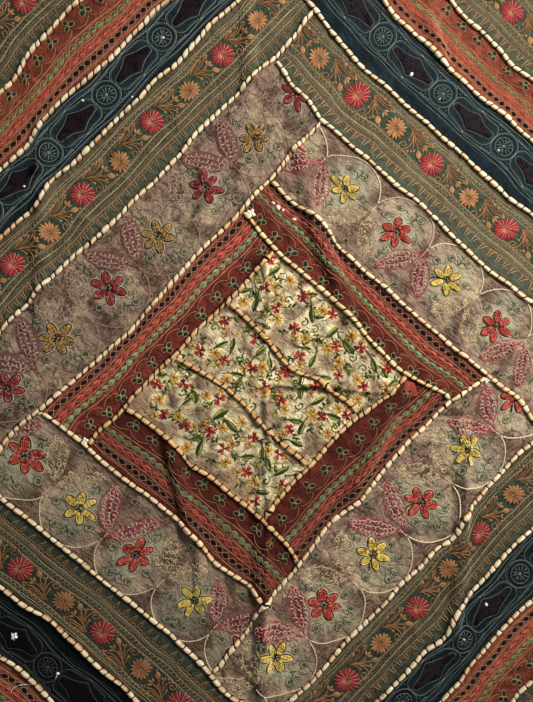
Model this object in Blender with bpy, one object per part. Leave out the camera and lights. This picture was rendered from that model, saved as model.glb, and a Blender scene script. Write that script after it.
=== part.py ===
"""A patchwork ralli quilt, spread out with the folds that packing has left in it.

Strips of embroidered sari border are sewn in square rings round a flowered
middle, each ring laid as a log cabin, and a stuffed cord is couched over every
seam.  The quilt lies face up on z = 0.  Its middle is at x = y = 0, and +Y runs
along its length.

Flat cloth is measured along u, which runs to the lower right, and along v, which
runs to the upper right.  place_flat() turns (u, v) into the plane of the outline,
and drape() lifts that plane into its folds.  Strips and cords share both, so they
keep to each other wherever the cloth goes.
"""
import math

import bmesh
import bpy
from mathutils import Vector

CLOTH_WIDTH = 0.716
CLOTH_LENGTH = 0.996
CLOTH_THICKNESS = 0.0022
CORD_RADIUS = 0.0029
GAP = 0.0003
CORD_CLEARANCE = 0.0005
CORD_END_GAP = 0.0016
GRID_STEP = 0.0220
FAR = 0.680
EDGE_SNAP = 0.0025

SEAM_ANGLE = math.radians(44.0)
PATTERN_TURN = math.radians(1.2)
PATTERN_CENTRE = (0.016, -0.007)
FOLD_PULL_REACH = 0.090

# How wide each strip was cut, going out from the pattern's centre, in mm
RINGS = ("floral", "red", "brown", "olive", "teal", "russet")
STRIP_WIDTHS = {
    "nw": (111, 66, 102, 78, 57, 68),
    "se": (104, 72, 106, 77, 61, 72),
    "sw": (135, 69, 108, 80, 62, 72),
    "ne": (122, 57, 118, 79, 68, 58),
}
FLORAL_SEAMS = {"lower": -48, "upper": 35}

# The side whose strip runs on through each corner of a ring; the other butts it
CORNER_OWNERS = {
    "red": {"top": "ne", "right": "ne", "bottom": "sw", "left": "nw"},
    "brown": {"top": "nw", "right": "ne", "bottom": "se", "left": "nw"},
    "olive": {"top": "nw", "right": "ne", "bottom": "se", "left": "nw"},
    "teal": {"top": "nw", "right": "ne", "bottom": "se", "left": "nw"},
    "russet": {"top": "nw", "right": "ne", "bottom": "se", "left": "nw"},
}

# axis: 0 for a side that faces along u, 1 for one that faces along v.
# low and high: the corner, and the side met there, at the two ends of the side
SIDES = {
    "nw": {"axis": 0, "sign": -1, "low": ("left", "sw"), "high": ("top", "ne")},
    "se": {"axis": 0, "sign": 1, "low": ("bottom", "sw"), "high": ("right", "ne")},
    "sw": {"axis": 1, "sign": -1, "low": ("left", "nw"), "high": ("bottom", "se")},
    "ne": {"axis": 1, "sign": 1, "low": ("top", "nw"), "high": ("right", "se")},
}

# Folds, in mm: a ridge from (x0, y0) to (x1, y1), its half width in flat cloth,
# its height, and the length over which each end dies away
FOLD_COLUMNS = ("x0", "y0", "x1", "y1", "half", "height", "fade")
FOLDS = {
    "middle_up": (-2, 178, -1, -6, 11, 3.0, 30),
    "middle_down": (-2, -8, -5, -190, 12, 3.5, 40),
    "middle_foot": (-4, -150, -9, -440, 17, 8.0, 60),
    "cross": (-52, -1, 174, -8, 10, 3.0, 40),
    "cross_left": (-92, 8, -42, -18, 10, 3.0, 20),
    "upper_right_head": (45, 304, 58, 206, 12, 4.5, 30),
    "upper_right": (52, 230, 106, 88, 19, 9.5, 40),
    "upper_right_tail": (98, 112, 122, 24, 14, 5.0, 35),
    "lower_left": (-118, -48, -80, -212, 17, 9.0, 40),
    "lower_left_tail": (-84, -186, -75, -292, 12, 4.0, 35),
    "lower_right": (168, -26, 95, -166, 18, 7.5, 45),
    "right_head": (248, 130, 248, -20, 13, 4.0, 50),
    "right": (248, -5, 245, -245, 16, 6.5, 45),
    "right_foot": (247, -212, 228, -345, 16, 7.0, 40),
    "left": (-254, 335, -262, 55, 16, 5.5, 60),
    "top": (-9, 478, -10, 312, 15, 5.5, 45),
    "top_left": (-66, 280, -69, 190, 12, 4.0, 30),
    "top_right": (203, 466, 240, 372, 14, 5.0, 30),
    "foot_right": (47, -212, 50, -310, 12, 4.0, 30),
}

# Where a seam was sewn out of true, in mm: centre, reach and shift
NUDGE_COLUMNS = ("x", "y", "reach", "dx", "dy")
NUDGES = {
    "brown_ne_kink": (84, 324, 78, -11, -11),
    "brown_ne_bow": (142, 266, 72, -6, -7),
    "brown_top_bow": (33, 285, 50, -5, 5),
    "red_top_end": (-24, 208, 46, 6, 7),
    "red_se_upper": (262, 16, 80, 4, -4),
    "red_se_lower": (30, -250, 80, -4, 4),
    "red_sw_step": (-55, -222, 52, -4, -6),
    "brown_right_end": (338, -22, 70, 5, 9),
    "brown_left_end": (-302, -60, 70, -6, 9),
    "olive_se_step": (243, -192, 38, 6, -5),
    "teal_se_step": (238, -322, 48, 6, -5),
    "russet_nw_upper": (-236, 440, 90, -4, 4),
    "russet_nw_lower": (-310, 360, 90, 4, -4),
}
WANDER = 0.0008

# How far each seam bows outwards from a straight line, in mm: where along the seam
# the first value lies, then a value at every BOW_STEP.  A middle seam bows along v
BOW_STEP = 0.030
BOW_EDGE = 0.040
BOWS = {
    "middle_lower": (-120, (-6, -3, 3, 6, 6, 2, 0, 2)),
    "middle_upper": (-120, (1, 2, 2, -3, -6, 2, 6, 9)),
    "floral_nw": (-210, (2, 6, 3, 5, 5, 5, 4, 4, 4, 3, 4, 4)),
    "floral_se": (-120, (-5, -7, -7, -10, -9, -6, -1, 6, 3)),
    "floral_sw": (-120, (6, 1, -1, 0, 1, -2, -4, -4, -1, -1, 4)),
    "floral_ne": (-180, (2, 2, 0, 0, 1, 3, 2, 1, -3, -7, 0, 8, 11)),
    "red_nw": (-240, (2, 3, 7, 2, -1, -2, -5, -1, -1, 2, 2, 1, 1, 2, 2, 0, 4, 5, 5)),
    "red_se": (-300, (7, 3, 2, -3, 3, 1, -4, -12, -10, -4, -6, -7, -10, -9, -6, -4, 1)),
    "red_sw": (-180, (3, 0, 0, 1, -1, -2, -2, -6, -3, -3, -4, -3, 4)),
    "red_ne": (-180, (2, 2, 5, 5, 1, 3, 1, 0, 2, 3, 3, 6, 7, 5, 3)),
    "brown_nw": (-150, (3, 2, 5, 2, -1, 0, -2, -3, -3, -1, 1, 0, 1, 1, 2, -3, -1, 5)),
    "brown_se": (-270, (-3, -1, -2, -3, -2, -2, -1, 0, 1, 3, -4, -1, -3, -1, -2)),
    "brown_sw": (-120, (1, -1, -2, -2, -2, -4, -4, -5, -6, -5, 3, 5)),
    "brown_ne": (-270, (-2, -6, 1, -2, -2, -4, -6, -10, -8, -11, -13, -13, -11, -10, -8)),
    "olive_nw": (-60, (0, -5, 5, 1, 1, 1, 1, 1, 2, -1, -1, 3, 1)),
    "olive_se": (-180, (1, 2, 1, 3, -6, -5, -4, -6, -3)),
    "olive_sw": (-60, (-1, -2, -9, -7, -4, -3, -3)),
    "olive_ne": (-270, (-4, -9, -12, -12, -13, -10, -8, -8, -8, -7, -5, -6)),
    "teal_nw": (0, (-4, 0, 6, 4, 3, 0, 0, 0, 4)),
    "teal_se": (-150, (-1, 1, -7, -5, -4, -1)),
    "teal_sw": (0, (-4, -3, -1)),
    "teal_ne": (-210, (-7, -6, -2, -7, -7, -4, -1, 0)),
    "russet_nw": (60, (-2, 2, 0, 0, 0)),
    "russet_ne": (-150, (-3, 0, -2, -7)),
}

CLOTH_LOOKS = {
    "floral": {"colour": (0.42, 0.36, 0.24), "roughness": 0.85},
    "red": {"colour": (0.16, 0.030, 0.022), "roughness": 0.8},
    "brown": {"colour": (0.20, 0.155, 0.115), "roughness": 0.85},
    "olive": {"colour": (0.075, 0.080, 0.050), "roughness": 0.85},
    "teal": {"colour": (0.012, 0.028, 0.036), "roughness": 0.8},
    "russet": {"colour": (0.20, 0.045, 0.028), "roughness": 0.8},
    "corner": {"colour": (0.090, 0.085, 0.055), "roughness": 0.85},
}
CORD_LOOK = {"colour": (0.72, 0.58, 0.36), "roughness": 0.8}


def mm(length):
    return length * 0.001


def rows(table, columns):
    """The rows of a table as dictionaries, with every length in metres."""
    return [dict(zip(columns, map(mm, row))) for row in table.values()]


FOLD_ROWS = rows(FOLDS, FOLD_COLUMNS)
NUDGE_ROWS = rows(NUDGES, NUDGE_COLUMNS)


# ---------------------------------------------------------------- the cloth's shape

def smooth_step(value):
    value = min(max(value, 0.0), 1.0)
    return value * value * (3.0 - 2.0 * value)


def seam(side, ring):
    """Where the outer seam of a ring lies on one side, along that side's axis."""
    rings_inside = RINGS.index(ring) + 1
    return SIDES[side]["sign"] * mm(sum(STRIP_WIDTHS[side][:rings_inside]))


def bow_lines(axis):
    """The bowed seams on one axis, in order: (place, sign, first, values)."""
    lines = [(-FAR, 1, 0.0, ()), (FAR, 1, 0.0, ())]
    for name, (first, values) in BOWS.items():
        ring, side = name.split("_")
        if ring == "middle":
            line_axis, place, sign = 1, mm(FLORAL_SEAMS[side]), 1
        else:
            line_axis, place, sign = SIDES[side]["axis"], seam(side, ring), SIDES[side]["sign"]
        if line_axis == axis:
            lines.append((place, sign, mm(first), values))
    return sorted(lines)


BOW_LINES = (bow_lines(0), bow_lines(1))


def seam_bow(line, along):
    """How far one seam has bowed at a point along it, on a smooth curve."""
    place, sign, first, values = line
    steps = (along - first) / BOW_STEP
    index = math.floor(steps)
    share = steps - index
    before, low, high, beyond = [values[number] if 0 <= number < len(values) else 0
                                 for number in range(index - 1, index + 3)]
    curve = (2 * before - 5 * low + 4 * high - beyond
             + share * (3 * (low - high) + beyond - before))
    return sign * mm(low + 0.5 * share * (high - before + share * curve))


def bow(axis, place, along):
    """How far the cloth has shifted on one axis, between the seams on both sides of it."""
    lines = BOW_LINES[axis]
    for low, high in zip(lines, lines[1:]):
        if place <= high[0]:
            share = (place - low[0]) / (high[0] - low[0])
            return seam_bow(low, along) * (1.0 - share) + seam_bow(high, along) * share
    return 0.0


def turn_flat(u, v):
    """The plane point of a flat pattern point, before its seams bow."""
    x = (u + v) * math.cos(SEAM_ANGLE)
    y = (v - u) * math.sin(SEAM_ANGLE)
    cos_turn, sin_turn = math.cos(PATTERN_TURN), math.sin(PATTERN_TURN)
    return (PATTERN_CENTRE[0] + x * cos_turn - y * sin_turn,
            PATTERN_CENTRE[1] + x * sin_turn + y * cos_turn)


def place_flat(u, v):
    """The plane point of a flat pattern point.  The outline stays straight."""
    x, y = turn_flat(u, v)
    bowed_x, bowed_y = turn_flat(u + bow(0, u, v), v + bow(1, v, u))
    return (x + (bowed_x - x) * smooth_step((CLOTH_WIDTH / 2 - abs(x)) / BOW_EDGE),
            y + (bowed_y - y) * smooth_step((CLOTH_LENGTH / 2 - abs(y)) / BOW_EDGE))


def sew_out_of_true(x, y):
    """The plane point after the small errors of hand sewing."""
    dx = WANDER * (math.sin(71 * y + 1.3) + 0.6 * math.sin(38 * x + 131 * y))
    dy = WANDER * (math.sin(83 * x + 0.4) + 0.6 * math.sin(117 * x - 29 * y))
    for nudge in NUDGE_ROWS:
        away = math.hypot(x - nudge["x"], y - nudge["y"]) / nudge["reach"]
        if away < 1.0:
            share = (1.0 - away * away) ** 2
            dx += nudge["dx"] * share
            dy += nudge["dy"] * share
    return x + dx, y + dy


def fold_effect(fold, x, y):
    """How far one fold lifts a plane point and draws it in: (dx, dy, height)."""
    along = Vector((fold["x1"] - fold["x0"], fold["y1"] - fold["y0"]))
    length = along.length
    along.normalize()
    from_start = Vector((x - fold["x0"], y - fold["y0"]))
    run = from_start.dot(along)
    if run <= 0.0 or run >= length:
        return 0.0, 0.0, 0.0
    strength = smooth_step(run / fold["fade"]) * smooth_step((length - run) / fold["fade"])
    across = along.x * from_start.y - along.y * from_start.x
    half = fold["half"]
    height = fold["height"] * strength
    away = abs(across)
    near = min(away / half, 1.0)
    lift = height * (1.0 - near * near) ** 2
    drawn_in = 0.61 * height * height / half
    share = (near ** 3 / 3 - 2 * near ** 5 / 5 + near ** 7 / 7) / (8 / 105)
    fading = smooth_step(1.0 - (away - half) / FOLD_PULL_REACH)
    pull = -math.copysign(drawn_in * share * fading, across)
    return -along.y * pull, along.x * pull, lift


def drape(x, y):
    """The underside point of the spread cloth above a plane point."""
    x, y = sew_out_of_true(x, y)
    effects = [fold_effect(fold, x, y) for fold in FOLD_ROWS]
    return Vector((x + sum(effect[0] for effect in effects),
                   y + sum(effect[1] for effect in effects),
                   sum(effect[2] for effect in effects)))


def drape_uv(u, v):
    return drape(*place_flat(u, v))


# ---------------------------------------------------------------- the pattern's seams

def lattice_lines(axis):
    """Every line of the shared grid on one axis: all seams, evenly filled between."""
    marks = [-FAR, FAR]
    for side, facts in SIDES.items():
        if facts["axis"] == axis:
            marks += [seam(side, ring) for ring in RINGS]
    if axis == 1:
        marks += [mm(value) for value in FLORAL_SEAMS.values()]
    marks.sort()
    lines = [marks[0]]
    for low, high in zip(marks, marks[1:]):
        pieces = max(1, math.ceil((high - low) / GRID_STEP))
        lines += [low + (high - low) * step / pieces for step in range(1, pieces + 1)]
    return lines


LATTICE = (lattice_lines(0), lattice_lines(1))


def lines_between(axis, low, high):
    """A range's two ends and the grid lines between them."""
    tiny = 0.0005
    inner = [line for line in LATTICE[axis] if low + tiny < line < high - tiny]
    return [low] + inner + [high]


def strip_range(ring, side):
    """The flat box of one strip: ((u0, u1), (v0, v1))."""
    inner_ring = RINGS[RINGS.index(ring) - 1]
    across = sorted((seam(side, inner_ring), seam(side, ring)))
    ends = []
    for end in ("low", "high"):
        corner, met_side = SIDES[side][end]
        runs_through = CORNER_OWNERS[ring][corner] == side
        ends.append(seam(met_side, ring if runs_through else inner_ring))
    return (across, ends) if SIDES[side]["axis"] == 0 else (ends, across)


def cord_run(ring, side):
    """The two ends, along the seam, of the cord over a ring's outer seam."""
    ring_number = RINGS.index(ring)
    stop_short = CORD_RADIUS + CORD_END_GAP
    ends = []
    for end, inward in (("low", 1), ("high", -1)):
        corner, met_side = SIDES[side][end]
        stop = seam(met_side, ring)
        if ring_number + 1 < len(RINGS):
            next_ring = RINGS[ring_number + 1]
            if CORNER_OWNERS[next_ring][corner] == side:
                stop = seam(met_side, next_ring)
        else:
            stop = -inward * FAR
        ends.append(stop + inward * stop_short)
    return ends


# ---------------------------------------------------------------- making the pieces

def make_material(name, look):
    material = bpy.data.materials.new(name)
    material.use_nodes = True
    shader = material.node_tree.nodes["Principled BSDF"]
    shader.inputs["Base Color"].default_value = (*look["colour"], 1.0)
    shader.inputs["Roughness"].default_value = look["roughness"]
    shader.inputs["Metallic"].default_value = 0.0
    material.diffuse_color = (*look["colour"], 1.0)
    return material


def finish_object(name, data, look, collection):
    data.materials.append(make_material(name + "_finish", look))
    piece = bpy.data.objects.new(name, data)
    collection.objects.link(piece)
    return piece


def outline_planes():
    """A point and an outward normal for each side of the quilt's outline."""
    half_width, half_length = CLOTH_WIDTH / 2, CLOTH_LENGTH / 2
    return (((half_width, 0, 0), (1, 0, 0)), ((-half_width, 0, 0), (-1, 0, 0)),
            ((0, half_length, 0), (0, 1, 0)), ((0, -half_length, 0), (0, -1, 0)))


def cut_to_outline(mesh):
    """Cut a flat mesh off at the outline, with no slivers along the cut."""
    for point, normal in outline_planes():
        everything = list(mesh.verts) + list(mesh.edges) + list(mesh.faces)
        bmesh.ops.bisect_plane(mesh, geom=everything, dist=EDGE_SNAP, plane_co=point,
                               plane_no=normal, clear_outer=True)
        for vertex in mesh.verts:
            beyond = (vertex.co - Vector(point)).dot(Vector(normal))
            if abs(beyond) <= EDGE_SNAP:
                vertex.co -= Vector(normal) * beyond


def flat_grid(u_lines, v_lines):
    """A flat grid mesh whose lines lie at the given places."""
    mesh = bmesh.new()
    bmesh.ops.create_grid(mesh, x_segments=len(u_lines) - 1, y_segments=len(v_lines) - 1,
                          size=1.0)
    for vertex in mesh.verts:
        column = round((vertex.co.x + 1) / 2 * (len(u_lines) - 1))
        row = round((vertex.co.y + 1) / 2 * (len(v_lines) - 1))
        vertex.co = (*place_flat(u_lines[column], v_lines[row]), 0.0)
    return mesh


def thicken(mesh, thickness):
    """Close an open sheet with a second face straight above it."""
    underside = list(mesh.faces)
    result = bmesh.ops.extrude_face_region(mesh, geom=underside, use_keep_orig=True)
    raised = [item for item in result["geom"] if isinstance(item, bmesh.types.BMVert)]
    bmesh.ops.translate(mesh, verts=raised, vec=(0, 0, thickness))
    bmesh.ops.recalc_face_normals(mesh, faces=mesh.faces)


def add_strip(name, look, box, collection):
    """One strip of cloth over a flat box (u range, v range), cut to the outline."""
    half_gap = GAP / 2
    lines = [lines_between(axis, low + half_gap, high - half_gap)
             for axis, (low, high) in enumerate(box)]
    mesh = flat_grid(*lines)
    cut_to_outline(mesh)
    bmesh.ops.triangulate(mesh, faces=mesh.faces, quad_method="ALTERNATE")
    for vertex in mesh.verts:
        vertex.co = drape(vertex.co.x, vertex.co.y)
    thicken(mesh, CLOTH_THICKNESS)
    data = bpy.data.meshes.new(name)
    mesh.to_mesh(data)
    mesh.free()
    return finish_object(name, data, look, collection)


def inside_outline(u, v, margin):
    x, y = place_flat(u, v)
    return abs(x) < CLOTH_WIDTH / 2 - margin and abs(y) < CLOTH_LENGTH / 2 - margin


def cut_run_to_outline(point_at, low, high):
    """The part of a seam, from low to high, that lies inside the outline."""
    margin = 0.002
    step = 0.0005
    count = int((high - low) / step)
    inside = [low + index * step for index in range(count + 1)
              if inside_outline(*point_at(low + index * step), margin)]
    if not inside:
        return None
    return inside[0], inside[-1]


def steepness(u, v):
    """The steepest of the cloth's slopes round a point, over one grid step."""
    here = drape_uv(u, v)
    reach = GRID_STEP
    slopes = {}
    for label, (du, dv) in {"u-": (-reach, 0), "u+": (reach, 0),
                            "v-": (0, -reach), "v+": (0, reach)}.items():
        there = drape_uv(u + du, v + dv)
        slopes[label] = abs(there.z - here.z) / math.hypot(there.x - here.x, there.y - here.y)
    return math.hypot(max(slopes["u-"], slopes["u+"]), max(slopes["v-"], slopes["v+"]))


def add_cord(name, axis, place, run, collection):
    """A couched cord that lies along the seam at a place on one axis."""
    def point_at(distance):
        return (place, distance) if axis == 0 else (distance, place)

    limits = cut_run_to_outline(point_at, *run)
    if limits is None:
        return None
    stations = [point_at(line) for line in lines_between(1 - axis, *limits)]
    steep = [steepness(*station) for station in stations]
    curve = bpy.data.curves.new(name, "CURVE")
    curve.dimensions = "3D"
    curve.bevel_depth = CORD_RADIUS
    curve.bevel_resolution = 1
    curve.use_fill_caps = True
    spline = curve.splines.new("POLY")
    spline.points.add(len(stations) - 1)
    for index, station in enumerate(stations):
        slope = max(steep[max(index - 1, 0):index + 2])
        lift = (CORD_RADIUS + CORD_CLEARANCE) * math.hypot(1.0, slope)
        centre = drape_uv(*station) + Vector((0, 0, CLOTH_THICKNESS + lift))
        spline.points[index].co = (*centre, 1.0)
    return finish_object(name, curve, CORD_LOOK, collection)


def build_floral(collection):
    """The flowered middle: three strips side by side."""
    u_range = (seam("nw", "floral"), seam("se", "floral"))
    marks = [seam("sw", "floral"), mm(FLORAL_SEAMS["lower"]), mm(FLORAL_SEAMS["upper"]),
             seam("ne", "floral")]
    for label, v_range in zip(("lower", "middle", "upper"), zip(marks, marks[1:])):
        add_strip("floral_" + label, CLOTH_LOOKS["floral"], (u_range, v_range), collection)
    stop_short = CORD_RADIUS + CORD_END_GAP
    run = (u_range[0] + stop_short, u_range[1] - stop_short)
    for label, value in FLORAL_SEAMS.items():
        add_cord("cord_middle_" + label, 1, mm(value), run, collection)


def build_rings(collection):
    for ring in RINGS[1:]:
        for side in SIDES:
            add_strip(ring + "_" + side, CLOTH_LOOKS[ring], strip_range(ring, side), collection)


def build_corners(collection):
    for side, facts in SIDES.items():
        across = sorted((seam(side, RINGS[-1]), facts["sign"] * FAR))
        along = (-FAR, FAR)
        box = (across, along) if facts["axis"] == 0 else (along, across)
        add_strip("corner_" + side, CLOTH_LOOKS["corner"], box, collection)


def build_cords(collection):
    for ring in RINGS:
        for side, facts in SIDES.items():
            add_cord("cord_" + ring + "_" + side, facts["axis"], seam(side, ring),
                     cord_run(ring, side), collection)


def main():
    for leftover in list(bpy.data.objects):
        bpy.data.objects.remove(leftover, do_unlink=True)
    collection = bpy.data.collections.new("ralli_quilt")
    bpy.context.scene.collection.children.link(collection)
    build_floral(collection)
    build_rings(collection)
    build_corners(collection)
    build_cords(collection)


main()
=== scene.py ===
# A patchwork ralli quilt, dressed: fine cloth over each strip, couched cords of soft roving,
# and every row of embroidery sewn thread by thread on the strip it belongs to.
import math

import bmesh
import bpy
import numpy as np
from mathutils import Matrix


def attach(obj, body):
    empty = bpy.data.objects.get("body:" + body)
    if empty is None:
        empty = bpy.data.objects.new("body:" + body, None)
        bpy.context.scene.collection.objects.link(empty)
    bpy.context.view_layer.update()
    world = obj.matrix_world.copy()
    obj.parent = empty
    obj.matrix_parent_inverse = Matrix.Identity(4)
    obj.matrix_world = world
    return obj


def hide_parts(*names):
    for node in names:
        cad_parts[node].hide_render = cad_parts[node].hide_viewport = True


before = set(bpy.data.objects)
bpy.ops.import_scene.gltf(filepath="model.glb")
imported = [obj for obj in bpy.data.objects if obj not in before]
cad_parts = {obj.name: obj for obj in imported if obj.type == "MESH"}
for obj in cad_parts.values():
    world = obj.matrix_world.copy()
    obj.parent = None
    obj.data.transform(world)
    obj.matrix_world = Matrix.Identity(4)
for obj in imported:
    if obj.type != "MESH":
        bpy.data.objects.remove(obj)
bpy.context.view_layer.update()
bpy.ops.object.select_all(action="DESELECT")
print("frame loaded:", len(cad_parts), "nodes")

mm = 0.001

# The quilt's size, the turn of its seams, how far its folds pull and how finely its cloth is built,
# in metres
quilt = {"width": 0.716, "length": 0.996, "thickness": 0.0022, "gap": 0.0003,
         "seamAngle": math.radians(44.0), "turn": math.radians(1.2),
         "centre": (0.016, -0.007), "far": 0.680, "foldReach": 0.090, "wander": 0.0008,
         "clothStep": 0.0034, "fineStep": 0.0023, "clothReach": 0.66, "snap": 0.0009}

# How wide each strip was cut, going out from the middle, in mm
ringNames = ("floral", "red", "brown", "olive", "teal", "russet")
stripWidths = {"nw": (111, 66, 102, 78, 57, 68), "se": (104, 72, 106, 77, 61, 72),
               "sw": (135, 69, 108, 80, 62, 72), "ne": (122, 57, 118, 79, 68, 58)}
floralSeams = {"lower": -48, "upper": 35}
sides = {
    "nw": {"axis": 0, "sign": -1, "along": (0, 1), "low": ("left", "sw"), "high": ("top", "ne")},
    "ne": {"axis": 1, "sign": 1, "along": (1, 0), "low": ("top", "nw"), "high": ("right", "se")},
    "se": {"axis": 0, "sign": 1, "along": (0, -1), "low": ("bottom", "sw"), "high": ("right", "ne")},
    "sw": {"axis": 1, "sign": -1, "along": (-1, 0), "low": ("left", "nw"), "high": ("bottom", "se")}}
# The side whose strip runs on through each corner of a ring
redCorners = {"top": "ne", "right": "ne", "bottom": "sw", "left": "nw"}
otherCorners = {"top": "nw", "right": "ne", "bottom": "se", "left": "nw"}

foldColumns = ("x0", "y0", "x1", "y1", "half", "height", "fade")
folds = {
    "middleUp": (-2, 178, -1, -6, 11, 3.0, 30),
    "middleDown": (-2, -8, -5, -190, 12, 3.5, 40),
    "middleFoot": (-4, -150, -9, -440, 17, 8.0, 60),
    "cross": (-52, -1, 174, -8, 10, 3.0, 40),
    "crossLeft": (-92, 8, -42, -18, 10, 3.0, 20),
    "upperRightHead": (45, 304, 58, 206, 12, 4.5, 30),
    "upperRight": (52, 230, 106, 88, 19, 9.5, 40),
    "upperRightTail": (98, 112, 122, 24, 14, 5.0, 35),
    "lowerLeft": (-118, -48, -80, -212, 17, 9.0, 40),
    "lowerLeftTail": (-84, -186, -75, -292, 12, 4.0, 35),
    "lowerRight": (168, -26, 95, -166, 18, 7.5, 45),
    "rightHead": (248, 130, 248, -20, 13, 4.0, 50),
    "right": (248, -5, 245, -245, 16, 6.5, 45),
    "rightFoot": (247, -212, 228, -345, 16, 7.0, 40),
    "left": (-254, 335, -262, 55, 16, 5.5, 60),
    "top": (-9, 478, -10, 312, 15, 5.5, 45),
    "topLeft": (-66, 280, -69, 190, 12, 4.0, 30),
    "topRight": (203, 466, 240, 372, 14, 5.0, 30),
    "footRight": (47, -212, 50, -310, 12, 4.0, 30)}
nudgeColumns = ("x", "y", "reach", "dx", "dy")
nudges = {
    "brownNeKink": (84, 324, 78, -11, -11),
    "brownNeBow": (142, 266, 72, -6, -7),
    "brownTopBow": (33, 285, 50, -5, 5),
    "redTopEnd": (-24, 208, 46, 6, 7),
    "redSeUpper": (262, 16, 80, 4, -4),
    "redSeLower": (30, -250, 80, -4, 4),
    "redSwStep": (-55, -222, 52, -4, -6),
    "brownRightEnd": (338, -22, 70, 5, 9),
    "brownLeftEnd": (-302, -60, 70, -6, 9),
    "oliveSeStep": (243, -192, 38, 6, -5),
    "tealSeStep": (238, -322, 48, 6, -5),
    "russetNwUpper": (-236, 440, 90, -4, 4),
    "russetNwLower": (-310, 360, 90, 4, -4)}


# How far each seam bows outwards, in mm: where its first value lies along it, then one at every step
bowStep, bowEdge = 0.030, 0.040
bows = {
    "middle_lower": (-120, (-6, -3, 3, 6, 6, 2, 0, 2)),
    "middle_upper": (-120, (1, 2, 2, -3, -6, 2, 6, 9)),
    "floral_nw": (-210, (2, 6, 3, 5, 5, 5, 4, 4, 4, 3, 4, 4)),
    "floral_se": (-120, (-5, -7, -7, -10, -9, -6, -1, 6, 3)),
    "floral_sw": (-120, (6, 1, -1, 0, 1, -2, -4, -4, -1, -1, 4)),
    "floral_ne": (-180, (2, 2, 0, 0, 1, 3, 2, 1, -3, -7, 0, 8, 11)),
    "red_nw": (-240, (2, 3, 7, 2, -1, -2, -5, -1, -1, 2, 2, 1, 1, 2, 2, 0, 4, 5, 5)),
    "red_se": (-300, (7, 3, 2, -3, 3, 1, -4, -12, -10, -4, -6, -7, -10, -9, -6, -4, 1)),
    "red_sw": (-180, (3, 0, 0, 1, -1, -2, -2, -6, -3, -3, -4, -3, 4)),
    "red_ne": (-180, (2, 2, 5, 5, 1, 3, 1, 0, 2, 3, 3, 6, 7, 5, 3)),
    "brown_nw": (-150, (3, 2, 5, 2, -1, 0, -2, -3, -3, -1, 1, 0, 1, 1, 2, -3, -1, 5)),
    "brown_se": (-270, (-3, -1, -2, -3, -2, -2, -1, 0, 1, 3, -4, -1, -3, -1, -2)),
    "brown_sw": (-120, (1, -1, -2, -2, -2, -4, -4, -5, -6, -5, 3, 5)),
    "brown_ne": (-270, (-2, -6, 1, -2, -2, -4, -6, -10, -8, -11, -13, -13, -11, -10, -8)),
    "olive_nw": (-60, (0, -5, 5, 1, 1, 1, 1, 1, 2, -1, -1, 3, 1)),
    "olive_se": (-180, (1, 2, 1, 3, -6, -5, -4, -6, -3)),
    "olive_sw": (-60, (-1, -2, -9, -7, -4, -3, -3)),
    "olive_ne": (-270, (-4, -9, -12, -12, -13, -10, -8, -8, -8, -7, -5, -6)),
    "teal_nw": (0, (-4, 0, 6, 4, 3, 0, 0, 0, 4)),
    "teal_se": (-150, (-1, 1, -7, -5, -4, -1)),
    "teal_sw": (0, (-4, -3, -1)),
    "teal_ne": (-210, (-7, -6, -2, -7, -7, -4, -1, 0)),
    "russet_nw": (60, (-2, 2, 0, 0, 0)),
    "russet_ne": (-150, (-3, 0, -2, -7))}


def inMetres(rows, columns):
    return [dict(zip(columns, (value * mm for value in row))) for row in rows]


foldRows = inMetres(folds.values(), foldColumns)
nudgeRows = inMetres(nudges.values(), nudgeColumns)


def smoothStep(value):
    value = np.clip(value, 0.0, 1.0)
    return value * value * (3.0 - 2.0 * value)


def pairs(x, y):
    return np.stack([x, y], axis=-1)


# u runs to the lower right over the flat pattern, v to the upper right
cosSeam, sinSeam = math.cos(quilt["seamAngle"]), math.sin(quilt["seamAngle"])
cosTurn, sinTurn = math.cos(quilt["turn"]), math.sin(quilt["turn"])
xOfUv = (cosSeam * cosTurn + sinSeam * sinTurn, cosSeam * cosTurn - sinSeam * sinTurn)
yOfUv = (cosSeam * sinTurn - sinSeam * cosTurn, cosSeam * sinTurn + sinSeam * cosTurn)


def seam(side, ring):
    return sides[side]["sign"] * mm * sum(stripWidths[side][:ringNames.index(ring) + 1])


def bowLines(axis):
    # the bowed seams on one axis, in order: (place, sign, first, values)
    lines = [(-quilt["far"], 1, 0.0, ()), (quilt["far"], 1, 0.0, ())]
    for name, (first, values) in bows.items():
        ring, side = name.split("_")
        if ring == "middle" and axis == 1:
            lines.append((floralSeams[side] * mm, 1, first * mm, values))
        elif ring != "middle" and sides[side]["axis"] == axis:
            lines.append((seam(side, ring), sides[side]["sign"], first * mm, values))
    return sorted(lines)


bowed = (bowLines(0), bowLines(1))


def seamBow(line, along):
    place, sign, first, values = line
    padded = np.concatenate([np.zeros(3), values, np.zeros(4)]) * mm
    steps = np.clip((along - first) / bowStep, -2.0, len(values) + 1.0)
    index = np.floor(steps).astype(int)
    share = steps - index
    before, low, high, beyond = [padded[index + 2 + number] for number in range(4)]
    curve = 2 * before - 5 * low + 4 * high - beyond + share * (3 * (low - high) + beyond - before)
    return sign * (low + 0.5 * share * (high - before + share * curve))


def bow(axis, place, along):
    # how far the cloth has shifted on one axis, between the seams on both sides of it
    place, along = np.broadcast_arrays(np.asarray(place, float), np.asarray(along, float))
    total = np.zeros(place.shape)
    for low, high in zip(bowed[axis], bowed[axis][1:]):
        here = (place > low[0]) & (place <= high[0])
        share = (place[here] - low[0]) / (high[0] - low[0])
        total[here] = seamBow(low, along[here]) * (1 - share) + seamBow(high, along[here]) * share
    return total


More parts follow.
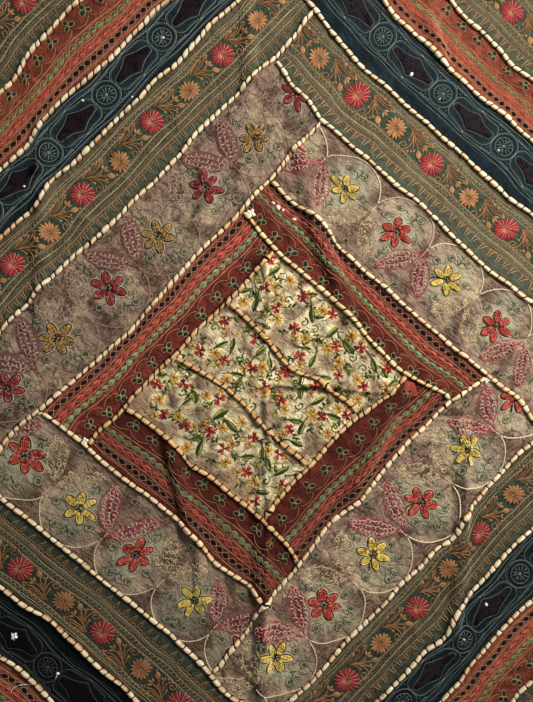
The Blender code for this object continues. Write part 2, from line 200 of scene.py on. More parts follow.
def turnFlat(u, v):
    return (quilt["centre"][0] + u * xOfUv[0] + v * xOfUv[1],
            quilt["centre"][1] + u * yOfUv[0] + v * yOfUv[1])


def placeFlat(u, v):
    # the plane point of a flat point; the outline stays straight
    x, y = turnFlat(u, v)
    bowedX, bowedY = turnFlat(u + bow(0, u, v), v + bow(1, v, u))
    return (x + (bowedX - x) * smoothStep((quilt["width"] / 2 - np.abs(x)) / bowEdge),
            y + (bowedY - y) * smoothStep((quilt["length"] / 2 - np.abs(y)) / bowEdge))


def fromLine(x, y, line):
    # how far each point lies along a line and to its left, the line's length and its heading
    length = math.hypot(line["x1"] - line["x0"], line["y1"] - line["y0"])
    ax, ay = (line["x1"] - line["x0"]) / length, (line["y1"] - line["y0"]) / length
    x, y = x - line["x0"], y - line["y0"]
    return x * ax + y * ay, ax * y - ay * x, length, (ax, ay)


def drape(x, y):
    # the underside of the spread cloth above points of the flat plane
    wander = quilt["wander"]
    dx = wander * (np.sin(71 * y + 1.3) + 0.6 * np.sin(38 * x + 131 * y))
    dy = wander * (np.sin(83 * x + 0.4) + 0.6 * np.sin(117 * x - 29 * y))
    for nudge in nudgeRows:
        near = ((x - nudge["x"]) ** 2 + (y - nudge["y"]) ** 2) / nudge["reach"] ** 2
        share = np.where(near < 1.0, (1.0 - near) ** 2, 0.0)
        dx, dy = dx + nudge["dx"] * share, dy + nudge["dy"] * share
    x, y = x + dx, y + dy
    shown = np.stack([x, y, np.zeros_like(x)], axis=-1)
    for fold in foldRows:
        run, across, length, (ax, ay) = fromLine(x, y, fold)
        height = (fold["height"] * smoothStep(run / fold["fade"])
                  * smoothStep((length - run) / fold["fade"]))
        away, half = np.abs(across), fold["half"]
        near = np.minimum(away / half, 1.0)
        share = (near ** 3 / 3 - 2 * near ** 5 / 5 + near ** 7 / 7) / (8 / 105)
        fading = smoothStep(1.0 - (away - half) / quilt["foldReach"])
        pull = -np.sign(across) * 0.61 * height * height / half * share * fading
        shown[..., 0] -= ay * pull
        shown[..., 1] += ax * pull
        shown[..., 2] += height * (1.0 - near * near) ** 2
    return shown


# Sharp creases, left from when it lay folded, in mm
creaseColumns = ("x0", "y0", "x1", "y1", "half", "height")
creases = ((8, 166, 6, 9, 5.2, 3.4), (6, -2, 4, -198, 5.4, 4.4), (-62, 7, -4, 1, 4.8, 2.4),
           (4, -2, 178, -20, 5.2, 3.6), (-40, -16, -6, -2, 4.2, 1.2), (60, 96, 92, 40, 4.8, 2.4),
           (36, 60, 64, 18, 4.4, 1.6), (-48, 60, -20, 20, 4.4, 1.4), (14, -60, 44, -96, 4.3, 1.3),
           (-80, -30, -52, -74, 4.4, 1.4), (4, -178, -3, -335, 5.6, 4.6), (180, -19, 262, -24, 5.0, 2.0),
           (254, -62, 245, -192, 5.6, 3.8))
creaseRows = inMetres(creases, creaseColumns)
# How a crease sways and fades out, and the painted shade on its left flank, the side turned from the lamp,
# for each metre of its height
creaseEdge = {"sway": 0.0016, "swayTurns": 70, "fade": 0.020, "sharpness": 1.3,
              "flankShade": 170, "mostFlankShade": 0.8, "flankShadeAside": 0.9}
# Soft patches of painted fold shade in mm: (x, y, reach, depth), lighter instead where the depth is below
# zero
paintedFoldPatches = ((105, 11, 24, 0.34), (-95, -37, 26, 0.32), (-95, -84, 26, 0.30), (-95, -275, 36, 0.36),
          (-146, -275, 30, 0.24), (-46, -322, 30, 0.30), (-245, -180, 28, 0.34), (205, -180, 28, 0.30),
          (160, -228, 32, 0.24), (255, -88, 22, 0.20), (55, 106, 24, -0.16), (105, 296, 30, -0.16),
          (-45, 248, 28, -0.12))
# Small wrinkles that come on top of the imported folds: (size, height, stretch, turn in degrees, seed)
wrinkles = ((0.052, 0.0012, 1.0, 0, 3), (0.021, 0.0009, 1.0, 0, 4), (0.015, 0.0009, 3.4, 62, 5),
            (0.017, 0.0009, 3.2, -28, 6), (0.014, 0.0009, 4.5, 94, 7))
wrinkleFoot = 0.0009
noiseLumps = 97


def softNoise(x, y, seed):
    # smooth noise from 0 to 1, one lump to a unit, that comes round again after noiseLumps units
    table = np.random.default_rng(seed).random((noiseLumps, noiseLumps))
    column, row = np.floor(x).astype(int), np.floor(y).astype(int)
    fx, fy = smoothStep(x - column), smoothStep(y - row)
    low, high = [table[level % noiseLumps, column % noiseLumps] * (1 - fx)
                 + table[level % noiseLumps, (column + 1) % noiseLumps] * fx for level in (row, row + 1)]
    return low * (1 - fy) + high * fy


def creaseShare(x, y, crease, aside=0.0):
    # how much of a crease lies at each point, from 0 to 1, or of a band set to its left by half widths
    run, across, length = fromLine(x, y, crease)[:3]
    sway = creaseEdge["sway"] * np.sin(run * creaseEdge["swayTurns"])
    across = (across + sway) / crease["half"] + aside
    return (smoothStep(run / creaseEdge["fade"]) * smoothStep((length - run) / creaseEdge["fade"])
            * np.maximum(1.0 - np.abs(across), 0.0) ** creaseEdge["sharpness"])


def paintedShadeOf(x, y):
    # the share of the cloth's colour left by the painted shade on the creases' flanks and by the painted fold
    # patches
    left = np.ones_like(x)
    for crease in creaseRows:
        # painted shade along the crease's left flank, the side turned from the lamp
        flankShade = min(creaseEdge["flankShade"] * crease["height"], creaseEdge["mostFlankShade"])
        left *= 1.0 - flankShade * creaseShare(x, y, crease, creaseEdge["flankShadeAside"])
    # the painted fold patches: painted shade, lighter where the depth is below zero
    for x0, y0, reach, depth in paintedFoldPatches:
        away = ((x - x0 * mm) ** 2 + (y - y0 * mm) ** 2) / (reach * mm) ** 2
        left *= 1.0 - depth * np.exp(-away)
    return left


def wrinkleHeight(x, y):
    total = np.zeros_like(x)
    for size, height, stretch, turn, seed in wrinkles:
        c, s = math.cos(math.radians(turn)), math.sin(math.radians(turn))
        along, across = (x * c + y * s) / (size * stretch), (y * c - x * s) / size
        ridge = 1.0 - np.abs(2.0 * softNoise(along, across, seed) - 1.0)
        total += height * (ridge ** 2 if stretch > 1 else softNoise(along, across, seed))
    for crease in creaseRows:
        total += crease["height"] * creaseShare(x, y, crease)
    return np.maximum(total - wrinkleFoot, 0.0)


def clothTop(x, y):
    shown = drape(x, y)
    shown[..., 2] += quilt["thickness"] + wrinkleHeight(x, y)
    return shown


def layOnCloth(points):
    # flat pattern points (u, v, height) set on the draped cloth, height along its normal
    reach = 0.0009
    x, y = placeFlat(points[:, 0], points[:, 1])
    here = clothTop(x, y)
    normal = np.cross(clothTop(x + reach, y) - here, clothTop(x, y + reach) - here)
    normal /= np.linalg.norm(normal, axis=1, keepdims=True)
    return here + normal * points[:, 2:3]


def cornerOwner(ring, corner):
    return (redCorners if ring == "red" else otherCorners)[corner]


def stripBox(ring, side):
    inner = ringNames[ringNames.index(ring) - 1]
    across = sorted((seam(side, inner), seam(side, ring)))
    ends = [seam(met, ring if cornerOwner(ring, corner) == side else inner)
            for corner, met in (sides[side]["low"], sides[side]["high"])]
    return (across, ends) if sides[side]["axis"] == 0 else (ends, across)


def cornerBox(side):
    far = quilt["far"]
    across = sorted((seam(side, "russet"), sides[side]["sign"] * far))
    return (across, (-far, far)) if sides[side]["axis"] == 0 else ((-far, far), across)


def outlineCuts(margin=0.0):
    # lines of the outline in the flat pattern: (normal u, normal v, limit)
    halfWidth, halfLength = quilt["width"] / 2 - margin, quilt["length"] / 2 - margin
    cuts = []
    for sign in (1, -1):
        cuts.append((sign * xOfUv[0], sign * xOfUv[1], halfWidth - sign * quilt["centre"][0]))
        cuts.append((sign * yOfUv[0], sign * yOfUv[1], halfLength - sign * quilt["centre"][1]))
    return cuts


def boxCuts(box, margin):
    (u0, u1), (v0, v1) = box
    return [(1, 0, u1 - margin), (-1, 0, -u0 - margin),
            (0, 1, v1 - margin), (0, -1, -v0 - margin)]


def cutMesh(sheet, cuts, snap=0.0, fill=False):
    # a mesh turned into one that is cut to the lines, in triangles
    mesh = bmesh.new()
    mesh.from_mesh(sheet)
    bpy.data.meshes.remove(sheet)
    for nu, nv, limit in cuts:
        size = math.hypot(nu, nv)
        normal = (nu / size, nv / size, 0.0)
        point = (normal[0] * limit / size, normal[1] * limit / size, 0.0)
        everything = list(mesh.verts) + list(mesh.edges) + list(mesh.faces)
        bmesh.ops.bisect_plane(mesh, geom=everything, dist=max(snap, 1e-7), plane_co=point,
                               plane_no=normal, clear_outer=True)
        if fill:
            rims = [edge for edge in mesh.edges if edge.is_boundary]
            bmesh.ops.holes_fill(mesh, edges=rims, sides=0)
        for vertex in mesh.verts if snap else ():
            beyond = vertex.co.x * normal[0] + vertex.co.y * normal[1] - limit / size
            if abs(beyond) <= snap:
                vertex.co.x -= normal[0] * beyond
                vertex.co.y -= normal[1] * beyond
    bmesh.ops.triangulate(mesh, faces=mesh.faces)
    mesh.verts.index_update()
    return mesh


def pointsAndTris(mesh):
    return (np.array([vertex.co for vertex in mesh.verts]),
            np.array([[vertex.index for vertex in face.verts] for face in mesh.faces]))


def meshOf(name, points, tris):
    mesh = bpy.data.meshes.new(name)
    mesh.vertices.add(len(points))
    mesh.vertices.foreach_set("co", np.ascontiguousarray(points, np.float32).ravel())
    mesh.loops.add(tris.size)
    mesh.loops.foreach_set("vertex_index", np.ascontiguousarray(tris, np.int32).ravel())
    mesh.polygons.add(len(tris))
    mesh.polygons.foreach_set("loop_start", np.arange(0, tris.size, 3, dtype=np.int32))
    mesh.update(calc_edges=True)
    mesh.shade_smooth()
    return mesh


def setField(mesh, label, kind, values):
    # one value to a point, which the materials read by its label
    field = mesh.attributes.new(label, kind, "POINT")
    key = {"FLOAT_VECTOR": "vector", "FLOAT_COLOR": "color", "FLOAT": "value"}[kind]
    field.data.foreach_set(key, np.ascontiguousarray(values, np.float32).ravel())


def newObject(name, data):
    made = bpy.data.objects.new(name, data)
    bpy.context.scene.collection.objects.link(made)
    return made


def finishPiece(name, mesh, materials, nodes=()):
    for material in materials:
        mesh.materials.append(material)
    piece = newObject(name, mesh)
    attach(piece, "root")
    if nodes:
        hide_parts(*nodes)
    return piece


def dye(code):
    # a linear colour from its six-figure code
    shown = [int(code[index:index + 2], 16) / 255 for index in (0, 2, 4)]
    return tuple(c / 12.92 if c <= 0.04045 else ((c + 0.055) / 1.055) ** 2.4 for c in shown)


# Nodes are put in a tree by kind, with a value or another node's output for each socket
def put(tree, kind, sockets=None, **settings):
    made = tree.nodes.new("ShaderNode" + kind)
    for label, value in settings.items():
        setattr(made, label, value)
    for label, value in (sockets or {}).items():
        if isinstance(value, bpy.types.NodeSocket):
            tree.links.new(value, made.inputs[label])
        else:
            made.inputs[label].default_value = value
    return made


def calc(tree, operation, a, b=None, c=None):
    values = {index: value for index, value in enumerate((a, b, c)) if value is not None}
    return put(tree, "Math", values, operation=operation).outputs[0]


def blend(tree, factor, a, b, kind="MIX"):
    def full(colour):
        return (*colour, 1.0) if isinstance(colour, tuple) else colour
    return put(tree, "Mix", {0: factor, 6: full(a), 7: full(b)}, data_type="RGBA",
               blend_type=kind).outputs[2]


def newGroup(name, inputs, outputs):
    group = bpy.data.node_groups.new(name, "ShaderNodeTree")
    for label, value in inputs.items():
        kind = "Vector" if value is None else "Float"
        socket = group.interface.new_socket(label, in_out="INPUT", socket_type="NodeSocket" + kind)
        if value is not None:
            socket.default_value = value
    for label in outputs:
        group.interface.new_socket(label, in_out="OUTPUT", socket_type="NodeSocketFloat")
    return group, group.nodes.new("NodeGroupInput").outputs, group.nodes.new("NodeGroupOutput").inputs


def useGroup(tree, group, sockets):
    return put(tree, "Group", sockets, node_tree=group).outputs


def weaveGroup():
    # a plain weave: crossing threads that go over and under each other
    tree, given, result = newGroup("plainWeave", {"Cloth": None, "Pitch": 0.0008}, ("Height",))
    part = put(tree, "SeparateXYZ", {0: given["Cloth"]}).outputs
    waves = []
    for axis in (0, 1):
        turned = calc(tree, "DIVIDE", part[axis], given["Pitch"])
        waves.append(calc(tree, "SINE", calc(tree, "MULTIPLY", turned, math.pi)))
    over = calc(tree, "MULTIPLY", waves[0], waves[1])
    tree.links.new(calc(tree, "MULTIPLY_ADD", over, 0.5, 0.5), result["Height"])
    return tree


def wornGroup():
    # broad patches, streaks along the threads, fine grains and creases, each from 0 to 1
    tree, given, result = newGroup("wornDye", {"Cloth": None, "Broad": 22.0, "Stretch": 6.0},
                                   ("Patch", "Cloud", "Streak", "Grain", "Crease"))
    cloth, broad = given["Cloth"], given["Broad"]
    part = put(tree, "SeparateXYZ", {0: cloth}).outputs
    drawn = put(tree, "CombineXYZ", {0: part[0], 1: calc(tree, "MULTIPLY", part[1], given["Stretch"]),
                                     2: part[2]})
    aside = put(tree, "VectorMath", {0: cloth, 1: (1.7, 2.9, 0.4)}, operation="ADD")
    for label, place, scale, detail, rough in (
            ("Patch", cloth, broad, 6.0, 0.66),
            ("Cloud", aside.outputs[0], calc(tree, "MULTIPLY", broad, 0.5), 5.0, 0.62),
            ("Streak", drawn.outputs[0], 75.0, 4.0, 0.7),
            ("Grain", cloth, 520.0, 3.0, 0.8)):
        noise = put(tree, "TexNoise", {"Vector": place, "Scale": scale, "Detail": detail, "Roughness": rough})
        tree.links.new(noise.outputs[0], result[label])
    lumps = put(tree, "TexNoise", {"Vector": cloth, "Scale": 60.0, "Detail": 3.0, "Roughness": 0.5,
                                   "Distortion": 0.4})
    away = calc(tree, "ABSOLUTE", calc(tree, "MULTIPLY_ADD", lumps.outputs[0], 2.0, -1.0))
    crease = calc(tree, "POWER", calc(tree, "MAXIMUM", calc(tree, "MULTIPLY_ADD", away, -3.2, 1.0), 0.0), 1.5)
    tree.links.new(crease, result["Crease"])
    return tree


def stitchGroup():
    # floss laid side by side across a motif, or a thread's twist: slanted lines at a pitch
    tree, given, result = newGroup("laidStitch", {"Stitch": None, "Pitch": 0.0007, "Slant": 0.3},
                                   ("Ridge", "Tone"))
    part = put(tree, "SeparateXYZ", {0: given["Stitch"]}).outputs
    slid = calc(tree, "MULTIPLY_ADD", part[1], given["Slant"], part[0])
    wobble = put(tree, "TexNoise", {"Vector": given["Stitch"], "Scale": 160.0, "Detail": 1.0})
    shifted = calc(tree, "MULTIPLY_ADD", wobble.outputs[0], 0.0012, slid)
    turned = calc(tree, "DIVIDE", shifted, given["Pitch"])
    wave = calc(tree, "SINE", calc(tree, "MULTIPLY", turned, 2 * math.pi))
    tree.links.new(calc(tree, "MULTIPLY_ADD", wave, 0.5, 0.5), result["Ridge"])
    tone = put(tree, "TexNoise", {"Vector": given["Stitch"], "Scale": 420.0, "Detail": 2.0})
    tree.links.new(tone.outputs[0], result["Tone"])
    return tree


weave, worn, laid = weaveGroup(), wornGroup(), stitchGroup()


def mapRange(tree, value, low, high, newLow=0.0, newHigh=1.0):
    return put(tree, "MapRange", {0: value, 1: low, 2: high, 3: newLow, 4: newHigh}).outputs[0]


def newMaterial(name):
    material = bpy.data.materials.new(name)
    material.use_nodes = True
    return material, material.node_tree, material.node_tree.nodes["Principled BSDF"]


def readField(tree, label, output):
    return put(tree, "Attribute", attribute_name=label).outputs[output]


def shaded(tree, colour, shade):
    # a colour made lighter or darker, by one factor for all of it
    grey = put(tree, "CombineColor", {0: shade, 1: shade, 2: shade}).outputs[0]
    return blend(tree, 1.0, colour, grey, "MULTIPLY")


# Each border's ground: its dye, the dyes of its worn patches, pale clouds, streaks, halos and edge, how
# dark the painted shade in its fine creases is, between which values a patch grows, how much of it is
# streaked, how many patches there are to a metre, the pitch of its weave and its relief
groundColumns = ("dye", "patch", "pale", "streak", "halo", "edge", "crease", "patchAt", "streakShare",
                 "broad", "weave", "relief")
grounds = {
    "floral": ("a48a6e", "705646", "d0bf9c", "d2c39e", "e8dbb0", "a48a6e", 0.20, (0.42, 0.60), 0.35,
               34.0, 0.0010, 1.0),
    "red": ("6e2e26", "431b17", "823e31", "8a4637", "713027", "6e2e26", 0.22, (0.42, 0.64), 0.30,
            30.0, 0.0007, 0.8),
    "brown": ("93766a", "543c33", "c0a98b", "c8b396", "b2b094", "624a40", 0.17, (0.46, 0.58), 0.50,
              38.0, 0.0009, 1.2),
    "olive": ("514a38", "443629", "615844", "74674a", "2c4036", "424a3f", 0.20, (0.50, 0.70), 0.45,
              24.0, 0.0008, 0.8),
    "teal": ("132129", "0a1116", "1e2e35", "263639", "172629", "132129", 0.25, (0.42, 0.66), 0.30,
             26.0, 0.0007, 0.8),
    "russet": ("874434", "57281f", "a25a42", "ad6549", "8e4a36", "874434", 0.22, (0.42, 0.64), 0.30,
               30.0, 0.0007, 0.8),
    "lining": ("9a8266", "83694f", "a89074", "b09a7c", "9a8266", "9a8266", 0.20, (0.45, 0.65), 0.30,
               20.0, 0.0011, 0.6)}


def groundMaterial(ring, kind):
    material, tree, shader = newMaterial(ring + "Ground")
    facts = dict(zip(groundColumns, grounds[kind]))
    cloth, halo = readField(tree, "cloth", "Vector"), readField(tree, "halo", "Fac")
    used = useGroup(tree, worn, {"Cloth": cloth, "Broad": facts["broad"]})
    threads = useGroup(tree, weave, {"Cloth": cloth, "Pitch": facts["weave"]})
    clouded = mapRange(tree, used["Cloud"], 0.49, 0.62, 0.0, 0.9)
    colour = blend(tree, clouded, dye(facts["dye"]), dye(facts["pale"]))
    colour = blend(tree, mapRange(tree, used["Patch"], *facts["patchAt"]), colour, dye(facts["patch"]))
    colour = blend(tree, halo, colour, dye(facts["halo"]))
    colour = blend(tree, calc(tree, "MULTIPLY", halo, -1.0), colour, dye(facts["edge"]))
    streaked = mapRange(tree, used["Streak"], 0.46, 0.72, 0.0, facts["streakShare"])
    colour = blend(tree, streaked, colour, dye(facts["streak"]))
    grain = mapRange(tree, used["Grain"], 0.3, 0.7, 0.72, 1.20)
    # the fine creases are darkened in colour as well as in the bump: painted shade
    paintedCreaseShade = calc(tree, "MULTIPLY_ADD", used["Crease"], -facts["crease"], 1.0)
    worked = calc(tree, "MULTIPLY", grain, paintedCreaseShade)
    # the tone field darkens the colour with painted shade: on the strips away from the lamp, on the creases'
    # flanks and in the fold patches
    shade = calc(tree, "MULTIPLY", worked, readField(tree, "tone", "Fac"))
    tree.links.new(shaded(tree, colour, shade), shader.inputs["Base Color"])
    tree.links.new(mapRange(tree, used["Grain"], 0.3, 0.7, 0.95, 0.78), shader.inputs["Roughness"])
    shader.inputs["Specular IOR Level"].default_value = 0.12
    height = calc(tree, "MULTIPLY_ADD", used["Grain"], 0.5, used["Streak"])
    height = calc(tree, "MULTIPLY_ADD", used["Patch"], 2.4, height)
    height = calc(tree, "MULTIPLY_ADD", used["Crease"], -0.8, height)
    soft = put(tree, "Bump", {"Height": height, "Strength": 1.0, "Distance": 0.0022 * facts["relief"]})
    fine = put(tree, "Bump", {"Height": threads["Height"], "Strength": 0.5, "Distance": 0.0003,
                              "Normal": soft.outputs[0]})
    tree.links.new(fine.outputs[0], shader.inputs["Normal"])
    return material


def flossMaterial(name, pitch, slant, depth, shades, roughness):
    material, tree, shader = newMaterial(name)
    stitch = readField(tree, "stitch", "Vector")
    lines = useGroup(tree, laid, {"Stitch": stitch, "Pitch": pitch, "Slant": slant})
    # the grooves between the laid lines are darkened and their crests lightened in colour: painted shade and
    # painted highlight beside the bump
    shade = calc(tree, "MULTIPLY", mapRange(tree, lines["Ridge"], 0.0, 1.0, *shades),
                 mapRange(tree, lines["Tone"], 0.3, 0.7, 0.74, 1.22))
    tree.links.new(shaded(tree, readField(tree, "dye", "Color"), shade), shader.inputs["Base Color"])
    rough = mapRange(tree, lines["Tone"], 0.3, 0.7, roughness + 0.1, roughness - 0.1)
    tree.links.new(rough, shader.inputs["Roughness"])
    shader.inputs["Specular IOR Level"].default_value = 0.15
    bump = put(tree, "Bump", {"Height": lines["Ridge"], "Strength": 0.8, "Distance": depth})
    tree.links.new(bump.outputs[0], shader.inputs["Normal"])
    return material


satinFloss = flossMaterial("satinFloss", 0.0009, 0.25, 0.0004, (0.62, 1.12), 0.6)
sewingThread = flossMaterial("sewingThread", 0.0018, 0.9, 0.0003, (0.50, 1.22), 0.7)
softRoving = flossMaterial("softRoving", 0.0016, 0.5, 0.0005, (0.84, 1.06), 0.9)
liningCloth = groundMaterial("lining", "lining")
print("materials made")


def clothPoints(box, step):
    # a fine flat grid over a strip's box, cut to the outline: its points and triangles
    lines = []
    for low, high in box:
        low = max(low + quilt["gap"] / 2, -quilt["clothReach"])
        high = min(high - quilt["gap"] / 2, quilt["clothReach"])
        lines.append(np.linspace(low, high, max(2, math.ceil((high - low) / step) + 1)))
    u, v = np.meshgrid(*lines, indexing="ij")
    points = np.stack([u.ravel(), v.ravel(), np.zeros(u.size)], axis=1)
    index = np.arange(u.size).reshape(u.shape)
    cells = np.stack([index[:-1, :-1], index[1:, :-1], index[1:, 1:], index[:-1, 1:]],
                     axis=-1).reshape(-1, 4)
    middle = points[cells].mean(axis=1)
    cuts = outlineCuts()
    inside = np.ones(len(cells), bool)
    for nu, nv, limit in cuts:
        inside &= middle[:, 0] * nu + middle[:, 1] * nv < limit + step
    used, cells = np.unique(cells[inside], return_inverse=True)
    cells, points = cells.reshape(-1, 4), points[used]
    tris = np.concatenate([cells[:, (0, 1, 2)], cells[:, (0, 2, 3)]])
    mesh = cutMesh(meshOf("flatCloth", points, tris), cuts, snap=quilt["snap"])
    points, tris = pointsAndTris(mesh)
    rims = [edge.link_loops[0] for edge in mesh.edges if edge.is_boundary]
    rims = np.array([(loop.vert.index, loop.link_loop_next.vert.index) for loop in rims])
    mesh.free()
    return points, tris, rims


# How each border was laid on its side, in mm: where one of its repeats falls along the strip, how far
# out the pattern sits, how much it is stretched along, its way round, how much it is pressed across and
# its slope. What a side leaves out is as usual.
layColumns = ("first", "shift", "stretch", "way", "press", "slope")
usualLay = (0, 0, 1.0, "straight", 1, 0)
lays = {
    "red": {"nw": (-179.5, 0, 0.98), "ne": (-151.3, -3, 0.97, "straight", 1, -0.023),
            "se": (-46.3, 3.5, 1.02), "sw": (-75.0, -1.5, 1.02)},
    "brown": {"nw": (38.5, 10, 1.0, "mirrored"), "ne": (-106.9,), "se": (-97.3, -7, 1.014),
              "sw": (-103.1, -3, 1.015)},
    "olive": {"nw": (17.3,), "ne": (-50.9, -2, 1.05), "se": (88.6, -1, 1.04, "turned"),
              "sw": (-53.6, 2.5, 1.04)},
    "teal": {"nw": (124.2,), "ne": (-100.8, 5, 1.04), "se": (-27.9, -4, 1.1), "sw": (-32.1, 4)},
    "russet": {"nw": (126.9, 2, 1.0, "turned"), "ne": (-89.2, 0, 0.99, "turned", 0.84),
               "se": (100.0, -1, 1.0, "turned"), "sw": (100.0, 0, 1.0, "turned")},
    "corner": {"nw": (20,), "ne": (10,), "se": (30,), "sw": (0,)}}
# How far the border's pattern is sewn from the middle, and what is sewn past a strip's ends
sewnReach = {"most": 0.62, "spare": 0.012}
# How far the rows stray out and in, in mm, and how much of a seam's bow they follow
rowWander = {"red": 0.6, "brown": 0.8, "olive": 1.2, "teal": 1.5, "russet": 0.8, "corner": 1.3}
rowFollow = {"floral": 0.0, "red": 0.7, "brown": 0.35, "olive": 0.4, "teal": 0.5, "russet": 0.7,
             "corner": 0.5}


def layOf(ring, side):
    given = lays[ring][side]
    lay = dict(zip(layColumns, given + usualLay[len(given):]))
    number = len(ringNames) if ring == "corner" else ringNames.index(ring)
    lay["inner"] = mm * sum(stripWidths[side][:number])
    lay["run"] = -1 if lay["way"] == "turned" else 1
    lay["rise"] = 1 if lay["way"] == "straight" else -1
    start = lay["shift"] if lay["rise"] > 0 else stripWidths[side][number] + lay["shift"]
    lay["first"], lay["start"] = lay["first"] * mm, start * mm
    lay["box"] = cornerBox(side) if ring == "corner" else stripBox(ring, side)
    lay["side"], lay["ring"] = side, ring
    lay["wander"] = rowWander[ring] * mm
    return lay


def wanderAt(lay, s):
    # how the rows stray out and in along a strip
    start = 9 * lay["first"] + 40 * lay["inner"]
    return lay["wander"] * (np.sin(23 * s + start) + 0.55 * np.sin(58 * s + 2.3 * start))


def cutFromMade(ring, u, v):
    # flat cloth from where the pattern would lie if its seams had not bowed
    stay = 1 - rowFollow[ring]
    du, dv = bow(0, u, v), bow(1, v, u)
    for step in range(2):
        du, dv = bow(0, u - stay * du, v - stay * dv), bow(1, v - stay * dv, u - stay * du)
    return u - stay * du, v - stay * dv


def madeFromCut(ring, u, v):
    stay = 1 - rowFollow[ring]
    return u + stay * bow(0, u, v), v + stay * bow(1, v, u)


def flatFromPattern(lay, points):
    # border pattern points (along, out, height) to the flat cloth
    facts = sides[lay["side"]]
    s = lay["first"] + lay["run"] * lay["stretch"] * points[:, 0]
    t = lay["start"] + lay["rise"] * lay["press"] * points[:, 1]
    t = t + lay["slope"] * (s - lay["first"]) + wanderAt(lay, s) + lay["inner"]
    out = (facts["sign"], 0) if facts["axis"] == 0 else (0, facts["sign"])
    u, v = cutFromMade(lay["ring"], facts["along"][0] * s + out[0] * t, facts["along"][1] * s + out[1] * t)
    return np.stack([u, v, points[:, 2]], axis=1)


def patternFromFlat(lay, u, v):
    facts = sides[lay["side"]]
    u, v = madeFromCut(lay["ring"], u, v)
    s = facts["along"][0] * u + facts["along"][1] * v
    t = facts["sign"] * (u if facts["axis"] == 0 else v) - lay["inner"]
    t = t - lay["slope"] * (s - lay["first"]) - wanderAt(lay, s)
    return ((s - lay["first"]) * lay["run"] / lay["stretch"],
            (t - lay["start"]) * lay["rise"] / lay["press"])


def patternReach(lay):
    # how far the border's pattern runs along its strip, inside the outline
    reachU, reachV = [np.clip(part, -sewnReach["most"], sewnReach["most"]) for part in lay["box"]]
    corners = [float(patternFromFlat(lay, np.array(u), np.array(v))[0]) for u in reachU for v in reachV]
    return min(corners) - sewnReach["spare"], max(corners) + sewnReach["spare"]


flowerPitch = 0.0843

# The flowered middle's motifs, in mm of the flat cloth: (u, v), for leaves also (turn in degrees, length)
redFlowers = (
    (-112, 111), (-54, 102), (-11, 110), (42, 106), (84, 108), (-92, 80), (-66, 71), (20, 85), (-32, 68),
    (46, 61), (77, 71), (106, 85), (-5, 49), (-59, 28), (-101, 18), (-5, 19), (33, 31), (88, 31), (66, 10),
    (-38, -2), (-10, -9), (17, -10), (-68, -18), (-96, -30), (48, -27), (-40, -58), (22, -64), (59, -60),
    (-84, -72), (-20, -94), (6, -98), (-107, -94), (45, -100), (-47, -108), (-75, -114), (90, -83),
    (78, -119))
goldFlowers = (
    (-85, 88), (-77, 106), (-24, 106), (24, 108), (11, 77), (-16, 69), (35, 73), (66, 72), (-55, 62),
    (-101, 50), (84, 54), (-29, 6), (28, -14), (-4, -16), (57, 3), (84, -1), (-81, -19), (-50, -33),
    (75, 30), (-54, -65), (0, -59), (47, -66), (-98, -74), (-12, -81), (19, -108), (-91, -105),
    (-60, -105), (-27, -124), (59, -103), (100, -98))
floralLeaves = (
    (-98, 103, 80, 18), (-47, 112, 40, 13), (-30, 95, -40, 20), (-21, 98, 30, 12), (5, 95, 84, 20),
    (30, 95, -8, 22), (68, 100, -32, 19), (86, 101, -20, 13), (102, 98, 80, 15), (-92, 65, -10, 14),
    (-88, 57, -65, 18), (-7, 60, 30, 13), (10, 54, -75, 17), (-43, 21, 82, 19), (-26, 17, -40, 15),
    (26, 15, -40, 17), (24, 23, 20, 15), (50, 21, 72, 18), (77, 19, 18, 17), (-82, -5, 70, 16),
    (-45, -21, 32, 16), (-37, -25, -75, 17), (47, -15, 30, 16), (58, -17, -70, 17), (-25, -70, 77, 23),
    (-7, -71, -5, 20), (-63, -75, -30, 17), (44, -72, -40, 17), (59, -77, -30, 18), (77, -72, 72, 20),
    (-26, -110, 40, 15), (-15, -115, -62, 19), (77, -106, 40, 16), (33, -86, 40, 16), (-111, -81, 50, 14),
    (-65, -85, 78, 13), (-73, 4, 120, 15), (-16, 33, -20, 16), (5, 31, 35, 18), (13, 25, -60, 15),
    (96, 18, 75, 14), (66, -35, 15, 16), (-108, 62, 60, 13), (36, 48, 25, 14), (-60, 46, 10, 14),
    (-19, -40, 10, 13), (94, -60, 60, 15), (-88, -55, 20, 14))
floralCurls = ((-63, 86), (43, 89), (-103, 3), (-57, -4), (38, 3), (87, 10), (11, -82), (-7, 6), (-78, -79),
               (-30, 82), (62, 88), (-14, 84), (100, -45), (-110, -50), (-4, -38), (70, -92))


paleGround = {"reach": 0.0125, "edge": 1.6, "rough": ((70, 23, 0.6), (190, 24, 0.4))}


def paleAround(u, v):
    # the paler ground that the flowers and leaves stand on, from 0 to 1
    pale = np.zeros_like(u)
    for motif in redFlowers + goldFlowers + floralLeaves + floralCurls:
        near = ((u - motif[0] * mm) ** 2 + (v - motif[1] * mm) ** 2) / paleGround["reach"] ** 2
        pale = np.maximum(pale, np.exp(-near ** paleGround["edge"]))
    rough = sum(softNoise(u * fine, v * fine, seed) * share for fine, seed, share in paleGround["rough"])
    return smoothStep(pale * 1.5 - rough * 0.9)


# The arch over each flower of the brown border in mm: where its feet stand, its rise and its roundness
archShape = {"foot": 74, "rise": 37, "power": 0.5}
# Dyed grounds in metres: (half width, middle, half depth) for the flowers and for the vees between them
flowerHalo, veeHalo = (0.027, 0.068, 0.040), (0.012, 0.030, 0.022)
# Where each border's bands of other dye begin and end, going out, and how soft their edges are
bandEdges = {"olive": (0.031, 0.061, 0.0150, 0.004), "red": (0.028, 0.003), "teal": (0.015, 0.003)}


